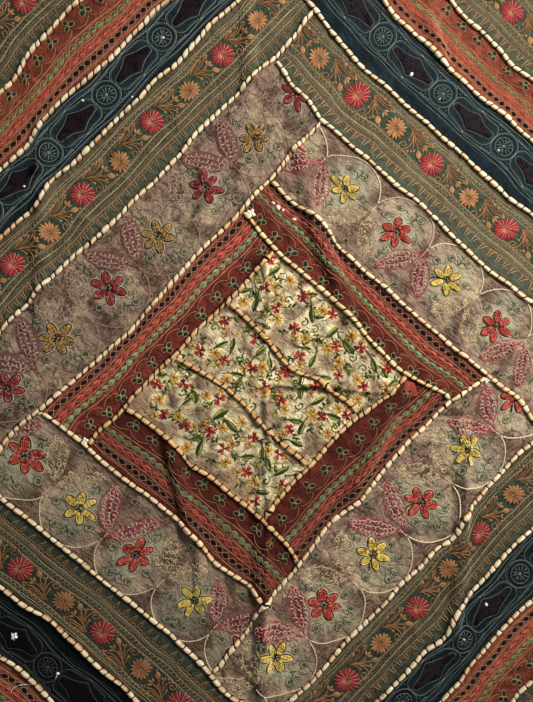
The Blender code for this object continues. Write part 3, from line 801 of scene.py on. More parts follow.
def archOut(share):
    # how far out the arch lies, from 0 at one foot to 1 at the other
    return (archShape["foot"] + archShape["rise"] * np.sin(math.pi * share) ** archShape["power"]) * mm


def roundHalo(halo, beside, out):
    halfWidth, middle, halfDepth = halo
    return (beside / halfWidth) ** 2 + ((out - middle) / halfDepth) ** 2


def haloOf(ring, along, out):
    # where the ground is dyed otherwise, from 0 to 1, or below 0 where it's the edge dye
    if ring == "brown":
        beside = (along / flowerPitch + 0.5) % 1.0 - 0.5
        halo = np.exp(-roundHalo(flowerHalo, beside * flowerPitch, out) ** 1.5)
        vee = np.exp(-roundHalo(veeHalo, (0.5 - np.abs(beside)) * flowerPitch, out))
        beyond = smoothStep((out - archOut(0.5 + beside)) / 0.005)
        rough = softNoise(along * 90, out * 90, 21)
        return halo * (1 - beyond) * (0.30 + 0.95 * rough) - (vee + 0.9 * beyond) * (0.25 + 0.9 * rough)
    if ring in ("olive", "corner"):
        low, high, edge, soft = bandEdges["olive"]
        band = smoothStep((out - low) / soft) * smoothStep((high - out) / soft)
        return band - smoothStep((edge - out) / soft)
    if ring in ("red", "russet"):
        low, soft = bandEdges["red"]
        return smoothStep((out - low) / soft)
    if ring == "teal":
        low, soft = bandEdges["teal"]
        return smoothStep((out - low) / soft) * softNoise(along * 60, out * 60, 22)
    return paleAround(along, out)


# How much lighter or darker than its ring's dyes each strip is, in the order of the sides: mostly painted
# light and shade, darker on the strips away from the lamp
stripShades = {"red": (1.0, 0.84, 0.66, 0.60), "brown": (0.86, 0.94, 1.0, 0.82),
              "olive": (1.06, 1.08, 0.84, 0.70), "teal": (1.08, 1.0, 0.68, 0.20),
              "russet": (0.84, 0.92, 0.80, 0.70), "corner": (1.0, 1.0, 0.85, 0.75)}
# How much of its halos shows on a worn strip
haloShare = {"brown_nw": 0.25}


def stripShadeOf(ring, side):
    return stripShades[ring][list(sides).index(side)] if side else 1.0


def addPanel(name, ring, side, box):
    points, tris, rims = clothPoints(box, quilt["fineStep"] if ring == "floral" else quilt["clothStep"])
    if side:
        along, out = patternFromFlat(layOf(ring, side), points[:, 0], points[:, 1])
    else:
        along, out = madeFromCut(ring, points[:, 0], points[:, 1])
    x, y = placeFlat(points[:, 0], points[:, 1])
    top = clothTop(x, y)
    under = top - (0, 0, quilt["thickness"])
    count = len(points)
    walls = np.concatenate([np.stack([rims[:, 0], rims[:, 1], rims[:, 1] + count], axis=1),
                            np.stack([rims[:, 0], rims[:, 1] + count, rims[:, 0] + count], axis=1)])
    mesh = meshOf(name, np.concatenate([under, top]),
                  np.concatenate([tris[:, ::-1], tris + count, walls]))
    mesh.polygons.foreach_set("material_index",
                              np.repeat([1, 0, 0], [len(tris), len(tris), len(walls)]).astype(np.int32))
    pattern = np.stack([along, out, np.zeros(count)], axis=1)
    setField(mesh, "cloth", "FLOAT_VECTOR", np.tile(pattern, (2, 1)))
    setField(mesh, "halo", "FLOAT", np.tile(haloOf(ring, along, out) * haloShare.get(name, 1.0), 2))
    # the tone field: the strip's painted shade times the painted shade of the creases and of the fold patches
    setField(mesh, "tone", "FLOAT", np.tile(stripShadeOf(ring, side) * paintedShadeOf(x, y), 2))
    piece = finishPiece("cloth_" + name, mesh, (groundOf[ring], liningCloth), [name])


slotOf = {"floral": "floral_cloth", "red": "red_border", "brown": "brown_velvet",
          "olive": "olive_border", "teal": "teal_border", "russet": "russet_border",
          "corner": "corner_border"}
groundOf = {ring: groundMaterial(ring, "olive" if ring == "corner" else ring) for ring in slotOf}

marks = [seam("sw", "floral"), mm * floralSeams["lower"], mm * floralSeams["upper"],
         seam("ne", "floral")]
middleReach = (seam("nw", "floral"), seam("se", "floral"))
for label, reach in zip(("lower", "middle", "upper"), zip(marks, marks[1:])):
    addPanel("floral_" + label, "floral", None, (middleReach, reach))
for ring in ringNames[1:]:
    for side in sides:
        addPanel(ring + "_" + side, ring, side, stripBox(ring, side))
for side in sides:
    addPanel("corner_" + side, "corner", side, cornerBox(side))
print("cloth laid")


def padShape(steps, vertices=10, shaped=None):
    # a low cushion of floss, a disc whose top is inset and raised in steps: its points and triangles
    bpy.ops.mesh.primitive_cylinder_add(vertices=vertices, radius=0.5, depth=0.5, end_fill_type="NGON",
                                        location=(0, 0, 0))
    piece = bpy.context.active_object
    bpy.ops.object.mode_set(mode="EDIT")
    mesh = bmesh.from_edit_mesh(piece.data)
    for face in mesh.faces:
        face.select_set(face.normal.z > 0.9)
    bmesh.update_edit_mesh(piece.data)
    for inset, rise in steps:
        bpy.ops.mesh.inset(thickness=inset)
        bpy.ops.transform.translate(value=(0, 0, rise))
    bpy.ops.object.mode_set(mode="OBJECT")
    piece.data.calc_loop_triangles()
    points = np.array([vertex.co for vertex in piece.data.vertices])
    tris = np.array([loop.vertices for loop in piece.data.loop_triangles])
    bpy.data.objects.remove(piece, do_unlink=True)
    return {"points": shaped(points) if shaped else points, "tris": tris}


def pointedEnds(points):
    shaped = points.copy()
    shaped[:, 1] *= np.sqrt(np.clip(1.08 - (2 * np.abs(points[:, 0])) ** 1.6, 0.02, 1)) * 1.05
    return shaped


def narrowFoot(points):
    shaped = points.copy()
    shaped[:, 1] *= 0.62 + 0.50 * (points[:, 0] + 0.5)
    return shaped


ovalSteps = ((0.10, 0.42), (0.17, 0.24))
oval, petal = padShape(ovalSteps), padShape(ovalSteps, shaped=narrowFoot)
leaf = padShape(((0.09, 0.42), (0.16, 0.24)), 12, pointedEnds)
knot = padShape(((0.14, 0.34),), 6)


def newBatch():
    return {"points": [], "tris": [], "dye": [], "stitch": [], "item": [], "size": 0, "items": 0}


def addItems(batch, points, tris, stitch, dyes):
    # n copies of k points (n, k, 3) with their triangles and stitch directions, and one dye or n of them
    n, k = points.shape[:2]
    dyes = dye(dyes) if isinstance(dyes, str) else dyes
    starts = batch["size"] + np.arange(n)[:, None, None] * k
    batch["points"].append(points.reshape(-1, 3))
    batch["tris"].append((tris[None] + starts).reshape(-1, 3))
    batch["stitch"].append(np.broadcast_to(stitch, points.shape).reshape(-1, 3))
    batch["dye"].append(np.repeat(np.broadcast_to(dyes, (n, 3)), k, axis=0))
    batch["item"].append(np.repeat(np.arange(n) + batch["items"], k))
    batch["size"] += n * k
    batch["items"] += n


def matched(*values):
    # arrays of one length, from numbers or arrays
    return np.broadcast_arrays(*[np.atleast_1d(np.asarray(value, float)) for value in values])


def stamp(batch, shape, along, out, turn, length, width, height, dyes):
    # copies of a floss pad: places, turns in radians and sizes may be arrays
    along, out, turn, length, width, height = matched(along, out, turn, length, width, height)
    local = shape["points"][None] * np.stack([length, width, height], axis=1)[:, None, :]
    c, s = np.cos(turn)[:, None], np.sin(turn)[:, None]
    points = np.stack([along[:, None] + local[..., 0] * c - local[..., 1] * s,
                       out[:, None] + local[..., 0] * s + local[..., 1] * c, local[..., 2]], axis=-1)
    addItems(batch, points, shape["tris"], local, dyes)


def addKnots(batch, along, out, size, height, dyes):
    stamp(batch, knot, along, out, 0.0, size, size, height, dyes)


def tubeTris(rows, corners):
    # the triangles of rows of points round a thread, closed at both ends
    index = np.arange(rows * corners).reshape(rows, corners)
    beyond, last = np.roll(index, -1, axis=1), index[-1, 0]
    quads = np.stack([index[:-1], index[1:], beyond[1:], beyond[:-1]], axis=-1).reshape(-1, 4)
    ends = [((0, corner, corner + 1), (last, last + corner + 1, last + corner))
            for corner in range(1, corners - 1)]
    return np.concatenate([quads[:, (0, 1, 2)], quads[:, (0, 2, 3)], np.reshape(ends, (-1, 3))])


def sew(batch, paths, radius, dyes, lift=0.0, corners=3):
    # threads along paths (n, p, 2 or 3), each a closed tube; the radius may change along them
    paths = np.asarray(paths, float)
    if paths.ndim == 2:
        paths = paths[None]
    n, p = paths.shape[:2]
    if paths.shape[2] == 2:
        paths = np.concatenate([paths, np.zeros((n, p, 1))], axis=2)
    heading = np.gradient(paths, axis=1)
    heading /= np.maximum(np.linalg.norm(heading, axis=2, keepdims=True), 1e-9)
    beside = np.stack([heading[..., 1], -heading[..., 0], np.zeros((n, p))], axis=-1)
    beside /= np.maximum(np.linalg.norm(beside, axis=2, keepdims=True), 1e-9)
    above = np.cross(beside, heading)
    turns = math.pi / 2 + 2 * math.pi * np.arange(corners) / corners
    ring = (beside[:, :, None, :] * np.cos(turns)[:, None] + above[:, :, None, :] * np.sin(turns)[:, None])
    thick = np.broadcast_to(radius, (p,))[:, None]
    points = paths[:, :, None, :] + ring * thick[..., None]
    points[..., 2] += lift + thick * 0.35
    gone = np.concatenate([np.zeros((n, 1)), np.cumsum(np.linalg.norm(
        np.diff(paths, axis=1), axis=2), axis=1)], axis=1)
    stitch = np.zeros(points.shape)
    stitch[..., 0] = gone[..., None]
    stitch[..., 1] = np.cos(turns) * thick
    addItems(batch, points.reshape(n, -1, 3), tubeTris(p, corners), stitch.reshape(n, -1, 3), dyes)


def clipped(batch, cuts, flip=False):
    # the batch's points with what lies beyond the cuts taken off and closed
    points, tris = np.concatenate(batch["points"]), np.concatenate(batch["tris"])
    shade, stitch = np.concatenate(batch["dye"]), np.concatenate(batch["stitch"])
    item = np.concatenate(batch["item"])
    if flip:
        tris = tris[:, ::-1]
    lines = np.array(cuts)
    outside = (points[:, :2] @ lines[:, :2].T > lines[:, 2])
    touched, lost = np.zeros(batch["items"], bool), np.zeros(batch["items"], bool)
    sizes = np.bincount(item, minlength=batch["items"])
    for column in outside.T:
        beyond = np.bincount(item, weights=column, minlength=batch["items"])
        touched |= beyond > 0
        lost |= beyond == sizes
    whole = ~touched[item[tris[:, 0]]]
    crossing = (touched & ~lost)[item[tris[:, 0]]]
    parts = [pick(points, shade, stitch, tris[whole])]
    if crossing.any():
        some = pick(points, shade, stitch, tris[crossing])
        work = meshOf("cutting", some[0], some[3])
        for label, values in zip(("dye", "stitch"), some[1:3]):
            setField(work, label, "FLOAT_VECTOR", values)
        mesh = cutMesh(work, cuts, fill=True)
        layers = [mesh.verts.layers.float_vector[label] for label in ("dye", "stitch")]
        if mesh.faces:
            fields = [np.array([vertex[layer] for vertex in mesh.verts]) for layer in layers]
            points, tris = pointsAndTris(mesh)
            parts.append((points, *fields, tris))
        mesh.free()
    return joined(parts)


def pick(points, shade, stitch, tris):
    used, tris = np.unique(tris, return_inverse=True)
    return points[used], shade[used], stitch[used], tris.reshape(-1, 3)


def joined(parts):
    parts = [part for part in parts if len(part[3])]
    starts = np.cumsum([0] + [len(part[0]) for part in parts])
    tris = [part[3] + start for part, start in zip(parts, starts)]
    return [np.concatenate([part[field] for part in parts]) for field in range(3)] + [np.concatenate(tris)]


def finishSewing(name, parts, material, nodes=()):
    points, shade, stitch, tris = joined(parts)
    mesh = meshOf(name, layOnCloth(points), tris)
    setField(mesh, "dye", "FLOAT_COLOR", np.concatenate([shade, np.ones((len(shade), 1))], axis=1))
    setField(mesh, "stitch", "FLOAT_VECTOR", stitch)
    finishPiece(name, mesh, (material,), nodes)
    print(name, len(tris), "triangles")


def finishBorder(ring, padParts, threadParts):
    finishSewing(ring + "_floss", padParts, satinFloss)
    finishSewing(ring + "_threads", threadParts, sewingThread)


# How far the stitches stay from a strip's seams and from the outline, and what is sewn over the cloths
stitchGap = {"seam": 0.0016, "outline": 0.0008, "over": 0.0005}


def onSide(batch, lay):
    # a border's batch set on its strip, cut at the seams and the outline
    batch["points"] = [flatFromPattern(lay, np.concatenate(batch["points"]))]
    cuts = boxCuts(lay["box"], stitchGap["seam"]) + outlineCuts(stitchGap["outline"])
    return clipped(batch, cuts, flip=lay["run"] * lay["rise"] < 0)


def finishLoose(name, batch, material):
    parts = [clipped(batch, outlineCuts(stitchGap["over"]))]
    finishSewing(name, parts, material)


rng = np.random.default_rng(41)


def jitter(size, count=None):
    return rng.uniform(-size, size, count)


def anyTurn(count=None):
    return rng.uniform(0, 6.3, count)


def turnsOf(count):
    # the angles of a number of petals or spokes, evenly round
    return np.arange(count) * 2 * math.pi / count


def shades(code, count, spread=0.16):
    # one dye for each of several motifs, each faded a little differently
    return np.array(dye(code))[None] * rng.uniform(1 - spread, 1 + spread, (count, 1))


def repeats(reach, pitch):
    return np.arange(math.floor(reach[0] / pitch), math.ceil(reach[1] / pitch) + 1) * pitch


def motifNumbers(reach, pitch, beyond=1):
    # the numbers of the motifs that touch a strip
    return range(math.floor(reach[0] / pitch) - 1, math.ceil(reach[1] / pitch) + beyond)


def copiesAlong(path, along):
    # a path at each of the places along a border
    return path[None] + pairs(along, np.zeros(len(along)))[:, None, :]


def outwards(x, y, angle, reach):
    # points at a reach from a middle, whose angle may change with the reach
    return pairs(x + reach * np.cos(angle), y + reach * np.sin(angle))


def rays(x, y, angles, reaches):
    # one straight thread at each angle, through the reaches
    return np.stack([outwards(x, y, angles, reach) for reach in reaches], axis=1)


def about(x, y, turn, points):
    # points in mm, (n, 2), turned and set about a place
    c, s = math.cos(turn), math.sin(turn)
    points = np.asarray(points, float) * mm
    return pairs(x + points[:, 0] * c - points[:, 1] * s, y + points[:, 0] * s + points[:, 1] * c)


def softened(points, rounds=2):
    # the corners of a stroke cut off, its ends kept
    points = np.asarray(points, float)
    for step in range(rounds):
        near, far = points[:-1] * 0.75 + points[1:] * 0.25, points[:-1] * 0.25 + points[1:] * 0.75
        points = np.concatenate([points[:1], np.stack([near, far], axis=1).reshape(-1, 2)[1:-1], points[-1:]])
    return points


def evenly(path, step):
    # points at an even distance along a path
    gone = np.concatenate([[0], np.cumsum(np.linalg.norm(np.diff(path, axis=0), axis=1))])
    marks = np.linspace(0, gone[-1], max(3, round(gone[-1] / step) + 1))
    return pairs(np.interp(marks, gone, path[:, 0]), np.interp(marks, gone, path[:, 1]))


def chain(batch, path, width, dyes, lift=0.0):
    # chain stitch: a thread that swells and narrows with every loop
    path = evenly(path, width * 0.55)
    swell = np.where(np.arange(len(path)) % 2 == 0, 0.38, 0.17) * width
    sew(batch, path, swell, dyes, lift, 4)


def ringPaths(along, out, turn, length, width, count=10):
    # closed ovals (n, count + 1, 2)
    along, out, turn, length, width = matched(along, out, turn, length, width)
    angle = np.linspace(0, 2 * math.pi, count + 1)
    x, y = length[:, None] / 2 * np.cos(angle), width[:, None] / 2 * np.sin(angle)
    c, s = np.cos(turn)[:, None], np.sin(turn)[:, None]
    return pairs(along[:, None] + x * c - y * s, out[:, None] + x * s + y * c)


def curls(batch, places, size, radius, code, spread, sweep, lift=0.0):
    # little open loops of thread, one at each place (n, 2), each sweeping so far round, in radians
    count = len(places)
    angle = anyTurn((count, 1)) + rng.choice((-1, 1), (count, 1)) * np.linspace(0, sweep, 6)
    reach = rng.uniform(0.75, 1.2, (count, 1)) * size / 2 * np.linspace(0.8, 1.1, 6)
    sew(batch, places[:, None, :] + outwards(0, 0, angle, reach), radius, shades(code, count, spread), lift)


def straightRow(batch, reach, out, radius, code, wave=0.00045):
    # a thread sewn along the border, a little unevenly
    step = 0.0050
    along = np.arange(reach[0] - step, reach[1] + 2 * step, step)
    phase = rng.uniform(0, 6)
    wavy = out + wave * np.sin(along * 120 + phase) + wave * np.sin(along * 47 + 2 * phase)
    sew(batch, pairs(along, wavy), radius, code)


def doubleRow(batch, reach, out, radius, code):
    # two rows of stitches that part and meet again
    straightRow(batch, reach, out - 0.0004, radius, code, 0.0003)
    straightRow(batch, reach, out + 0.0006, radius * 0.7, code, 0.0010)


def spiral(x, y, size, turns, start, count, way):
    share = np.linspace(0.12, 1, count)
    return outwards(x, y, start + way * turns * 2 * math.pi * share, size * share)


# How high an oval lies, then the painted highlight and the deep floss over it, in metres
lensHeights = (0.0011, 0.0015, 0.0018)


def lensRow(pads, threads, reach, facts):
    # ovals in a row with two threads that cross between them
    pitch, out, length, width = [facts[label] * mm for label in ("pitch", "out", "length", "width")]
    along = repeats(reach, pitch)
    count = len(along)
    sizes = rng.uniform(0.86, 1.1, count)
    aside = jitter(0.0005, count)
    stamp(pads, facts["shape"], along + jitter(0.0005, count), out + aside, jitter(0.12, count),
          length * sizes, width * rng.uniform(0.85, 1.1, count), lensHeights[0],
          shades(facts["dye"], count, facts["spread"]))
    # a paler, narrower oval over each one, set to one side: painted highlight
    paintedLit = rng.uniform(0.9, 1.2, (count, 1))
    stamp(pads, facts["shape"], along, out + aside + 0.0007, jitter(0.15, count), length * sizes * 0.62,
          width * 0.34, lensHeights[1], np.array(dye(facts["paintedHighlight"])) * paintedLit)
    stamp(pads, facts["shape"], along + jitter(0.0007, count), out + aside - 0.0004, jitter(0.12, count),
          length * sizes * rng.uniform(0.45, 0.75, count), width * 0.26, lensHeights[2],
          shades(facts["deep"], count, 0.2))
    path = np.arange(along[0], along[-1], pitch / 8)
    swing = (width / 2 + 0.0006) * np.cos(math.pi * path / pitch)
    for sign in (1, -1):
        sew(threads, pairs(path, out + sign * swing), 0.00045, facts["outline"],
            0.0002 + 0.00015 * sign)


# A patch's rings of points: their share of its size and their height
patchRings = ((1.0, -0.0002), (0.985, 0.0004), (0.66, 0.0005), (0.33, 0.0005))


def addPatch(batch, path, code):
    # a low patch of cloth inside a closed path
    rim = path[:-1]
    centre = rim.mean(axis=0)
    count = len(rim)
    rings = [np.column_stack([centre + (rim - centre) * share, np.full(count, height)])
             for share, height in patchRings]
    points = np.concatenate(rings + [[(*centre, patchRings[-1][1]), (*centre, patchRings[0][1])]])
    order = np.arange(count)
    following = (order + 1) % count
    tris = []
    for level in range(len(patchRings) - 1):
        a, b = order + level * count, following + level * count
        tris += [np.stack([b, a, a + count], axis=1), np.stack([b, a + count, b + count], axis=1)]
    inner, top = count * (len(patchRings) - 1), count * len(patchRings)
    tris.append(np.stack([following + inner, order + inner, np.full(count, top)], axis=1))
    tris.append(np.stack([order, following, np.full(count, top + 1)], axis=1))
    stitch = points - (*centre, 0.0)
    addItems(batch, points[None], np.concatenate(tris), stitch[None], code)


rowColumns = ("out", "pitch", "length", "width", "spread", "shape", "dye", "paintedHighlight", "deep", "outline")
redWork = {
    "rows": {"green": (35.4, 10.8, 8.2, 5.4, 0.3, oval, "6c9468", "9cc29a", "2c4a2a", "c4a878"),
             "olive": (35.4, 10.8, 8.2, 5.4, 0.3, oval, "627748", "a3ae7c", "35451f", "c4a878"),
             "coral": (46.4, 12.9, 11.4, 5.2, 0.22, leaf, "bc4238", "e0806a", "6e1618", "d08a6c"),
             "navy": (57.2, 10.2, 8.6, 5.6, 0.3, leaf, "0b0b14", "14142a", "040408", "b98f6c")},
    "lines": (29.0, 41.0, 51.8, 62.6), "line": "cc987a", "fine": 0.00042, "thread": 0.00045,
    "trefoilPitch": 26.8, "trefoilDye": "0c312a", "rim": "c9a97a", "rimGap": 1.2, "gold": "c08c66",
    # each leaf of a trefoil in mm: (along, out, angle, length, width)
    "trefoil": ((3.9, 15.0, 0.5, 6.2, 4.8), (-3.9, 15.0, math.pi - 0.5, 6.2, 4.8),
                (0, 8.8, -math.pi / 2, 5.8, 5.6))}


def sewRed(lay):
    pads, threads, reach = newBatch(), newBatch(), patternReach(lay)
    for row in ("olive" if lay["ring"] == "russet" else "green", "coral", "navy"):
        lensRow(pads, threads, reach, dict(zip(rowColumns, redWork["rows"][row])))
    for out in redWork["lines"]:
        doubleRow(threads, reach, out * mm, redWork["fine"], redWork["line"])
    pitch = redWork["trefoilPitch"] * mm
    along = repeats(reach, pitch)
    count = len(along)
    for x0, y0, angle, length, width in redWork["trefoil"]:
        wobble = jitter(0.15, count)
        size = rng.uniform(0.88, 1.1, count)
        x, y = along + x0 * mm + jitter(0.0005, count), y0 * mm + jitter(0.0005, count)
        stamp(pads, oval, x, y, angle + wobble, length * mm * size, width * mm * size, 0.0011,
              shades(redWork["trefoilDye"], count, 0.3))
        rims = [(reachOver + redWork["rimGap"]) * mm * size for reachOver in (length, width)]
        sew(threads, ringPaths(x, y, angle + wobble, *rims), redWork["fine"], redWork["rim"], 0.0002)
    for sign in (1, -1):
        cross = np.array([(-2.4 * sign, 17.4), (0.0, 15.2), (1.4 * sign, 12.6), (1.6 * sign, 11.6)]) * mm
        sew(threads, copiesAlong(cross, along), redWork["thread"], redWork["rim"], 0.0007)
    share = np.linspace(0.03, 0.97, 12)
    for start in along:
        arch = pairs(start + share * pitch, (18.2 + 7.4 * np.sin(share * math.pi) ** 0.62) * mm)
        sew(threads, arch, redWork["thread"], redWork["gold"], 0.0002)
    return pads, threads


brownWork = {
    "flowerOut": 61.5, "petals": 6, "petalFoot": 4.0, "petalLength": 16.6, "petalWidth": 9.4,
    "leafWidth": 23.5, "outline": "1c140f", "rim": "c8c2a4", "sage": "a0a686", "green": "36422c",
    "fresh": {"yellow": ("efd872", "aa7c30"), "coral": ("cf5a4a", "8a2a24"), "loop": "e2bfae",
              "deep": "b8324a", "rim": "b85056", "under": None, "pale": "dcc8a0", "arch": "dccdaa"},
    "worn": {"yellow": ("bb9350", "64431f"), "coral": ("ae4447", "641f26"), "loop": "d2b6a6",
             "deep": "86404a", "rim": "8c4a4a", "under": "75544a", "pale": "c8b29c", "arch": "a88c6e"}}


def sewFlower(pads, threads, x, y, dyes):
    # petals of floss laid over darker pads, each outlined
    count = brownWork["petals"]
    angle = turnsOf(count) + jitter(0.12, count) + jitter(0.12)
    length = brownWork["petalLength"] * mm * rng.uniform(0.88, 1.08, count)
    width = brownWork["petalWidth"] * mm * rng.uniform(0.88, 1.10, count)
    foot = brownWork["petalFoot"] * mm
    px, py = outwards(x, y, angle, foot + length / 2).T
    stamp(pads, petal, px, py, angle, length, width, 0.0014, shades(dyes[1], count, 0.12))
    run = np.array([(low, low + 0.16, low + 0.34) for low in (0.03, 0.26, 0.48, 0.66)])
    run, aside = run[None, :, None, :], np.array((-0.76, -0.38, 0.0, 0.38, 0.76))[:, None]
    out = foot + length[:, None, None, None] * run
    across = width[:, None, None, None] / 2 * aside * np.sin(math.pi * np.minimum(run, 0.98) ** 0.85) ** 0.5
    out, across = np.broadcast_arrays(out, across)
    c, s = [part[:, None, None, None] for part in (np.cos(angle), np.sin(angle))]
    strokes = pairs(x + out * c - across * s, y + out * s + across * c).reshape(-1, 3, 2)
    tones = shades(dyes[0], len(strokes), 0.22)
    kind = rng.random(len(strokes))
    tones[kind < 0.14] = np.array(dye(dyes[1])) * 1.2
    tones[kind > 0.72] = tones[kind > 0.72] * 0.95 + 0.13
    sew(pads, strokes, np.array((0.6, 1, 0.6)) * 0.00098, tones, 0.0010)
    sew(threads, ringPaths(px, py, angle, length + 0.0011, width + 0.0010, 12), 0.00046,
        brownWork["outline"], 0.0001)
    sew(threads, ringPaths(px, py, angle, length + 0.0038, width + 0.0034, 12), 0.00060,
        brownWork["rim"], -0.0001)
    for number in range(count):
        spoke = angle[number] + jitter(0.35)
        reach = rng.uniform(0.005, 0.010)
        gone = np.linspace(0, reach, 4)
        sew(threads, outwards(x, y, spoke + 0.5 * (reach - gone) / reach, gone), 0.00050,
            brownWork["outline"], 0.0016)
    addKnots(pads, x, y, 0.003, 0.0016, dyes[0])
    if rng.random() < 0.5:
        stray, gone = angle[rng.integers(count)] + 0.25, np.linspace(0.002, 0.019, 7)
        sew(threads, outwards(x, y, stray + gone * 22, gone), 0.0007, brownWork["outline"], 0.0016)


def loopLines(apex, tip, swell, columns, pitch, size):
    # lines of small loops that run along a leaf, side by side
    length = np.linalg.norm(tip - apex)
    heading = (tip - apex) / length
    beside = np.array([-heading[1], heading[0]])
    gone = np.arange(0.16 * length, 0.95 * length, pitch / 6)
    half = np.interp(gone / length, np.linspace(0, 1, len(swell)), swell)
    lines = []
    for column in columns:
        turn = 2 * math.pi * gone / pitch + anyTurn() + 0.9 * np.sin(gone * 260 + column * 5)
        along = gone + 0.30 * pitch * np.cos(turn)
        uneven = 0.76 + 0.42 * np.sin(gone * 430 + column * 9)
        across = column * half + np.minimum(size, 0.42 * half) * uneven * np.sin(turn)
        lines.append(apex + along[:, None] * heading + across[:, None] * beside)
    return np.array(lines)


def sewLeaf(pads, threads, apex, tip, dyes, isPale):
    apex, tip = np.array(apex), np.array(tip)
    run = np.linspace(0, 1, 15)
    swell = brownWork["leafWidth"] / 2 * mm * rng.uniform(0.92, 1.06) * np.sin(
        math.pi * np.clip((run - 0.14) / 0.86, 0, 1) ** 0.9) ** 0.78
    heading = (tip - apex) / np.linalg.norm(tip - apex)
    beside = np.array([-heading[1], heading[0]])
    spine = apex + run[:, None] * (tip - apex)
    rims = [spine + sign * swell[:, None] * beside for sign in (1, -1)]

    def spotsAt(along, aside):
        return apex + along[:, None] * (tip - apex) + (aside * np.interp(along, run, swell))[:, None] * beside

    if isPale:
        swell = swell * 1.22
        spots = spotsAt(rng.uniform(0.12, 0.98, 58), jitter(0.94, 58))
        curls(pads, spots, 0.0042, 0.00062, dyes["pale"], 0.28, 4.0)
        sew(pads, loopLines(apex, tip, swell, (-0.74, 0.70), 0.0050, 0.0020), 0.00048,
            shades(dyes["pale"], 2, 0.10))
        return
    if dyes["under"]:
        addPatch(pads, np.concatenate([rims[0], rims[1][-2::-1]]), dyes["under"])
    sew(pads, loopLines(apex, tip, swell, (-0.60, -0.04, 0.56), 0.0052, 0.0028), 0.00072,
        shades(dyes["loop"], 3, 0.12), 0.0004)
    sew(pads, loopLines(apex, tip, swell, (-0.32, 0.30), 0.0064, 0.0020), 0.00046,
        shades(dyes["deep"], 2, 0.2), 0.0005)
    spots = spotsAt(rng.uniform(0.2, 0.9, 16), rng.normal(0, 0.36, 16))
    curls(pads, spots, 0.0030, 0.00085, dyes["deep"], 0.25, 2.6, 0.0006)
    for rim in rims:
        sew(threads, rim, 0.00056, dyes["rim"], 0.0002)
        inner = spine + (rim - spine) * 0.86 + 0.0005 * np.sin(run * 21)[:, None] * beside
        sew(threads, inner[1:-1], 0.00028, dyes["rim"], 0.0002)
    chain(threads, spine[:4], 0.0026, dyes["deep"], 0.0003)
    chain(threads, spine[-2:], 0.0030, dyes["deep"], 0.0003)


def sewBrown(lay):
    pads, threads = newBatch(), newBatch()
    reach, pitch, out = patternReach(lay), flowerPitch, brownWork["flowerOut"] * mm
    dyes = brownWork["worn" if lay["side"] == "nw" else "fresh"]
    for number in motifNumbers(reach, pitch, 2):
        x, kind = number * pitch + jitter(0.0015), "coral" if number % 2 else "yellow"
        share = np.linspace(0.006, 0.994, 33)
        arch = pairs(x + (share - 0.5) * pitch, archOut(share))
        arch += 0.0008 * np.sin(share * 9 + number)[:, None] * (0.3, 1.0)
        chain(threads, arch, 0.0030 if dyes["under"] is None else 0.0022, shades(dyes["arch"], 1), 0.0001)
        cusp = x + pitch / 2
        chain(threads, np.array([(cusp - 0.0004, 0.077), (cusp + 0.0003, 0.073), (cusp, 0.0640)]), 0.0022,
              dyes["arch"], 0.0001)
        for sign in (1, -1):
            tip = (cusp + sign * rng.uniform(0.031, 0.037), rng.uniform(0.0125, 0.0190))
            sewLeaf(pads, threads, (cusp, 0.0710 if number % 2 else 0.0640), tip, dyes, number % 2 == 0)
        sewCurlSprigs(threads, x)
        sewFlower(pads, threads, x, out + jitter(0.0015), dyes[kind])
    return pads, threads


# The curls round each brown border's flower, in metres from it along the border: (along, out, size),
# and where its two sprigs stand, how many pairs of leaves they have and how far apart those are
curlPlaces = ((flowerPitch / 2 + 0.002, 0.0135, 0.0040), (-0.0240, 0.0715, 0.0046),
              (0.0245, 0.0725, 0.0046), (0.0090, 0.0960, 0.0050), (-0.0150, 0.0900, 0.0040))
sprigs = {"out": (0.0250, 0.0860), "pairs": 5, "step": 0.0028, "leaf": 0.0062, "shorter": 0.0007}


def sewCurlSprigs(threads, x):
    sage, green = brownWork["sage"], brownWork["green"]
    for along, out, size in curlPlaces:
        px, py = (x + along, out) + jitter(0.002, 2)
        sew(threads, ringPaths(px, py, 0.3, 1.9 * size, 1.7 * size), 0.00070, sage)
        sew(threads, spiral(px, py, size * 0.62, 1.2, rng.uniform(0, 6), 9, rng.choice((1, -1))), 0.00075,
            green)
        sew(threads, ringPaths(px, py, 0.3, 2.4 * size, 2.2 * size), 0.00036, green)
        aside = rng.choice((-1, 1))
        sew(threads, [(px + aside * size, py), (px + aside * size * 1.6, py + 0.0022),
                      (px + aside * size * 2.3, py + 0.0018)], 0.00045, green)
    for stem in sprigs["out"]:
        foot = x + jitter(0.004)
        sew(threads, [(foot, stem), (foot + 0.0008, stem + 0.0080), (foot, stem + 0.0160)], 0.0005, green)
        for step in range(sprigs["pairs"]):
            for sign in (1, -1):
                low = stem + sprigs["step"] * step + jitter(0.0006)
                far = (sprigs["leaf"] - sprigs["shorter"] * step) * rng.uniform(0.8, 1.1)
                sew(threads, [(foot, low), (foot + sign * far * 0.55, low + 0.0012),
                              (foot + sign * far, low + 0.0036)], 0.0006,
                    sage if (step + sign) % 3 else green)


oliveWork = {"pitch": 59.4, "out": 45.0, "petals": 16, "gold": "a67750", "lace": "b5a988",
             "fringe": "a8926e", "scallop": "a87a54", "scallopPitch": 12.4, "crossing": 2.75,
             # each band of zigzags in mm, from where to where, and whether they cross
             "bands": ((16.5, 24.0, True), (24.0, 31.5, False), (62.0, 67.5, False))}
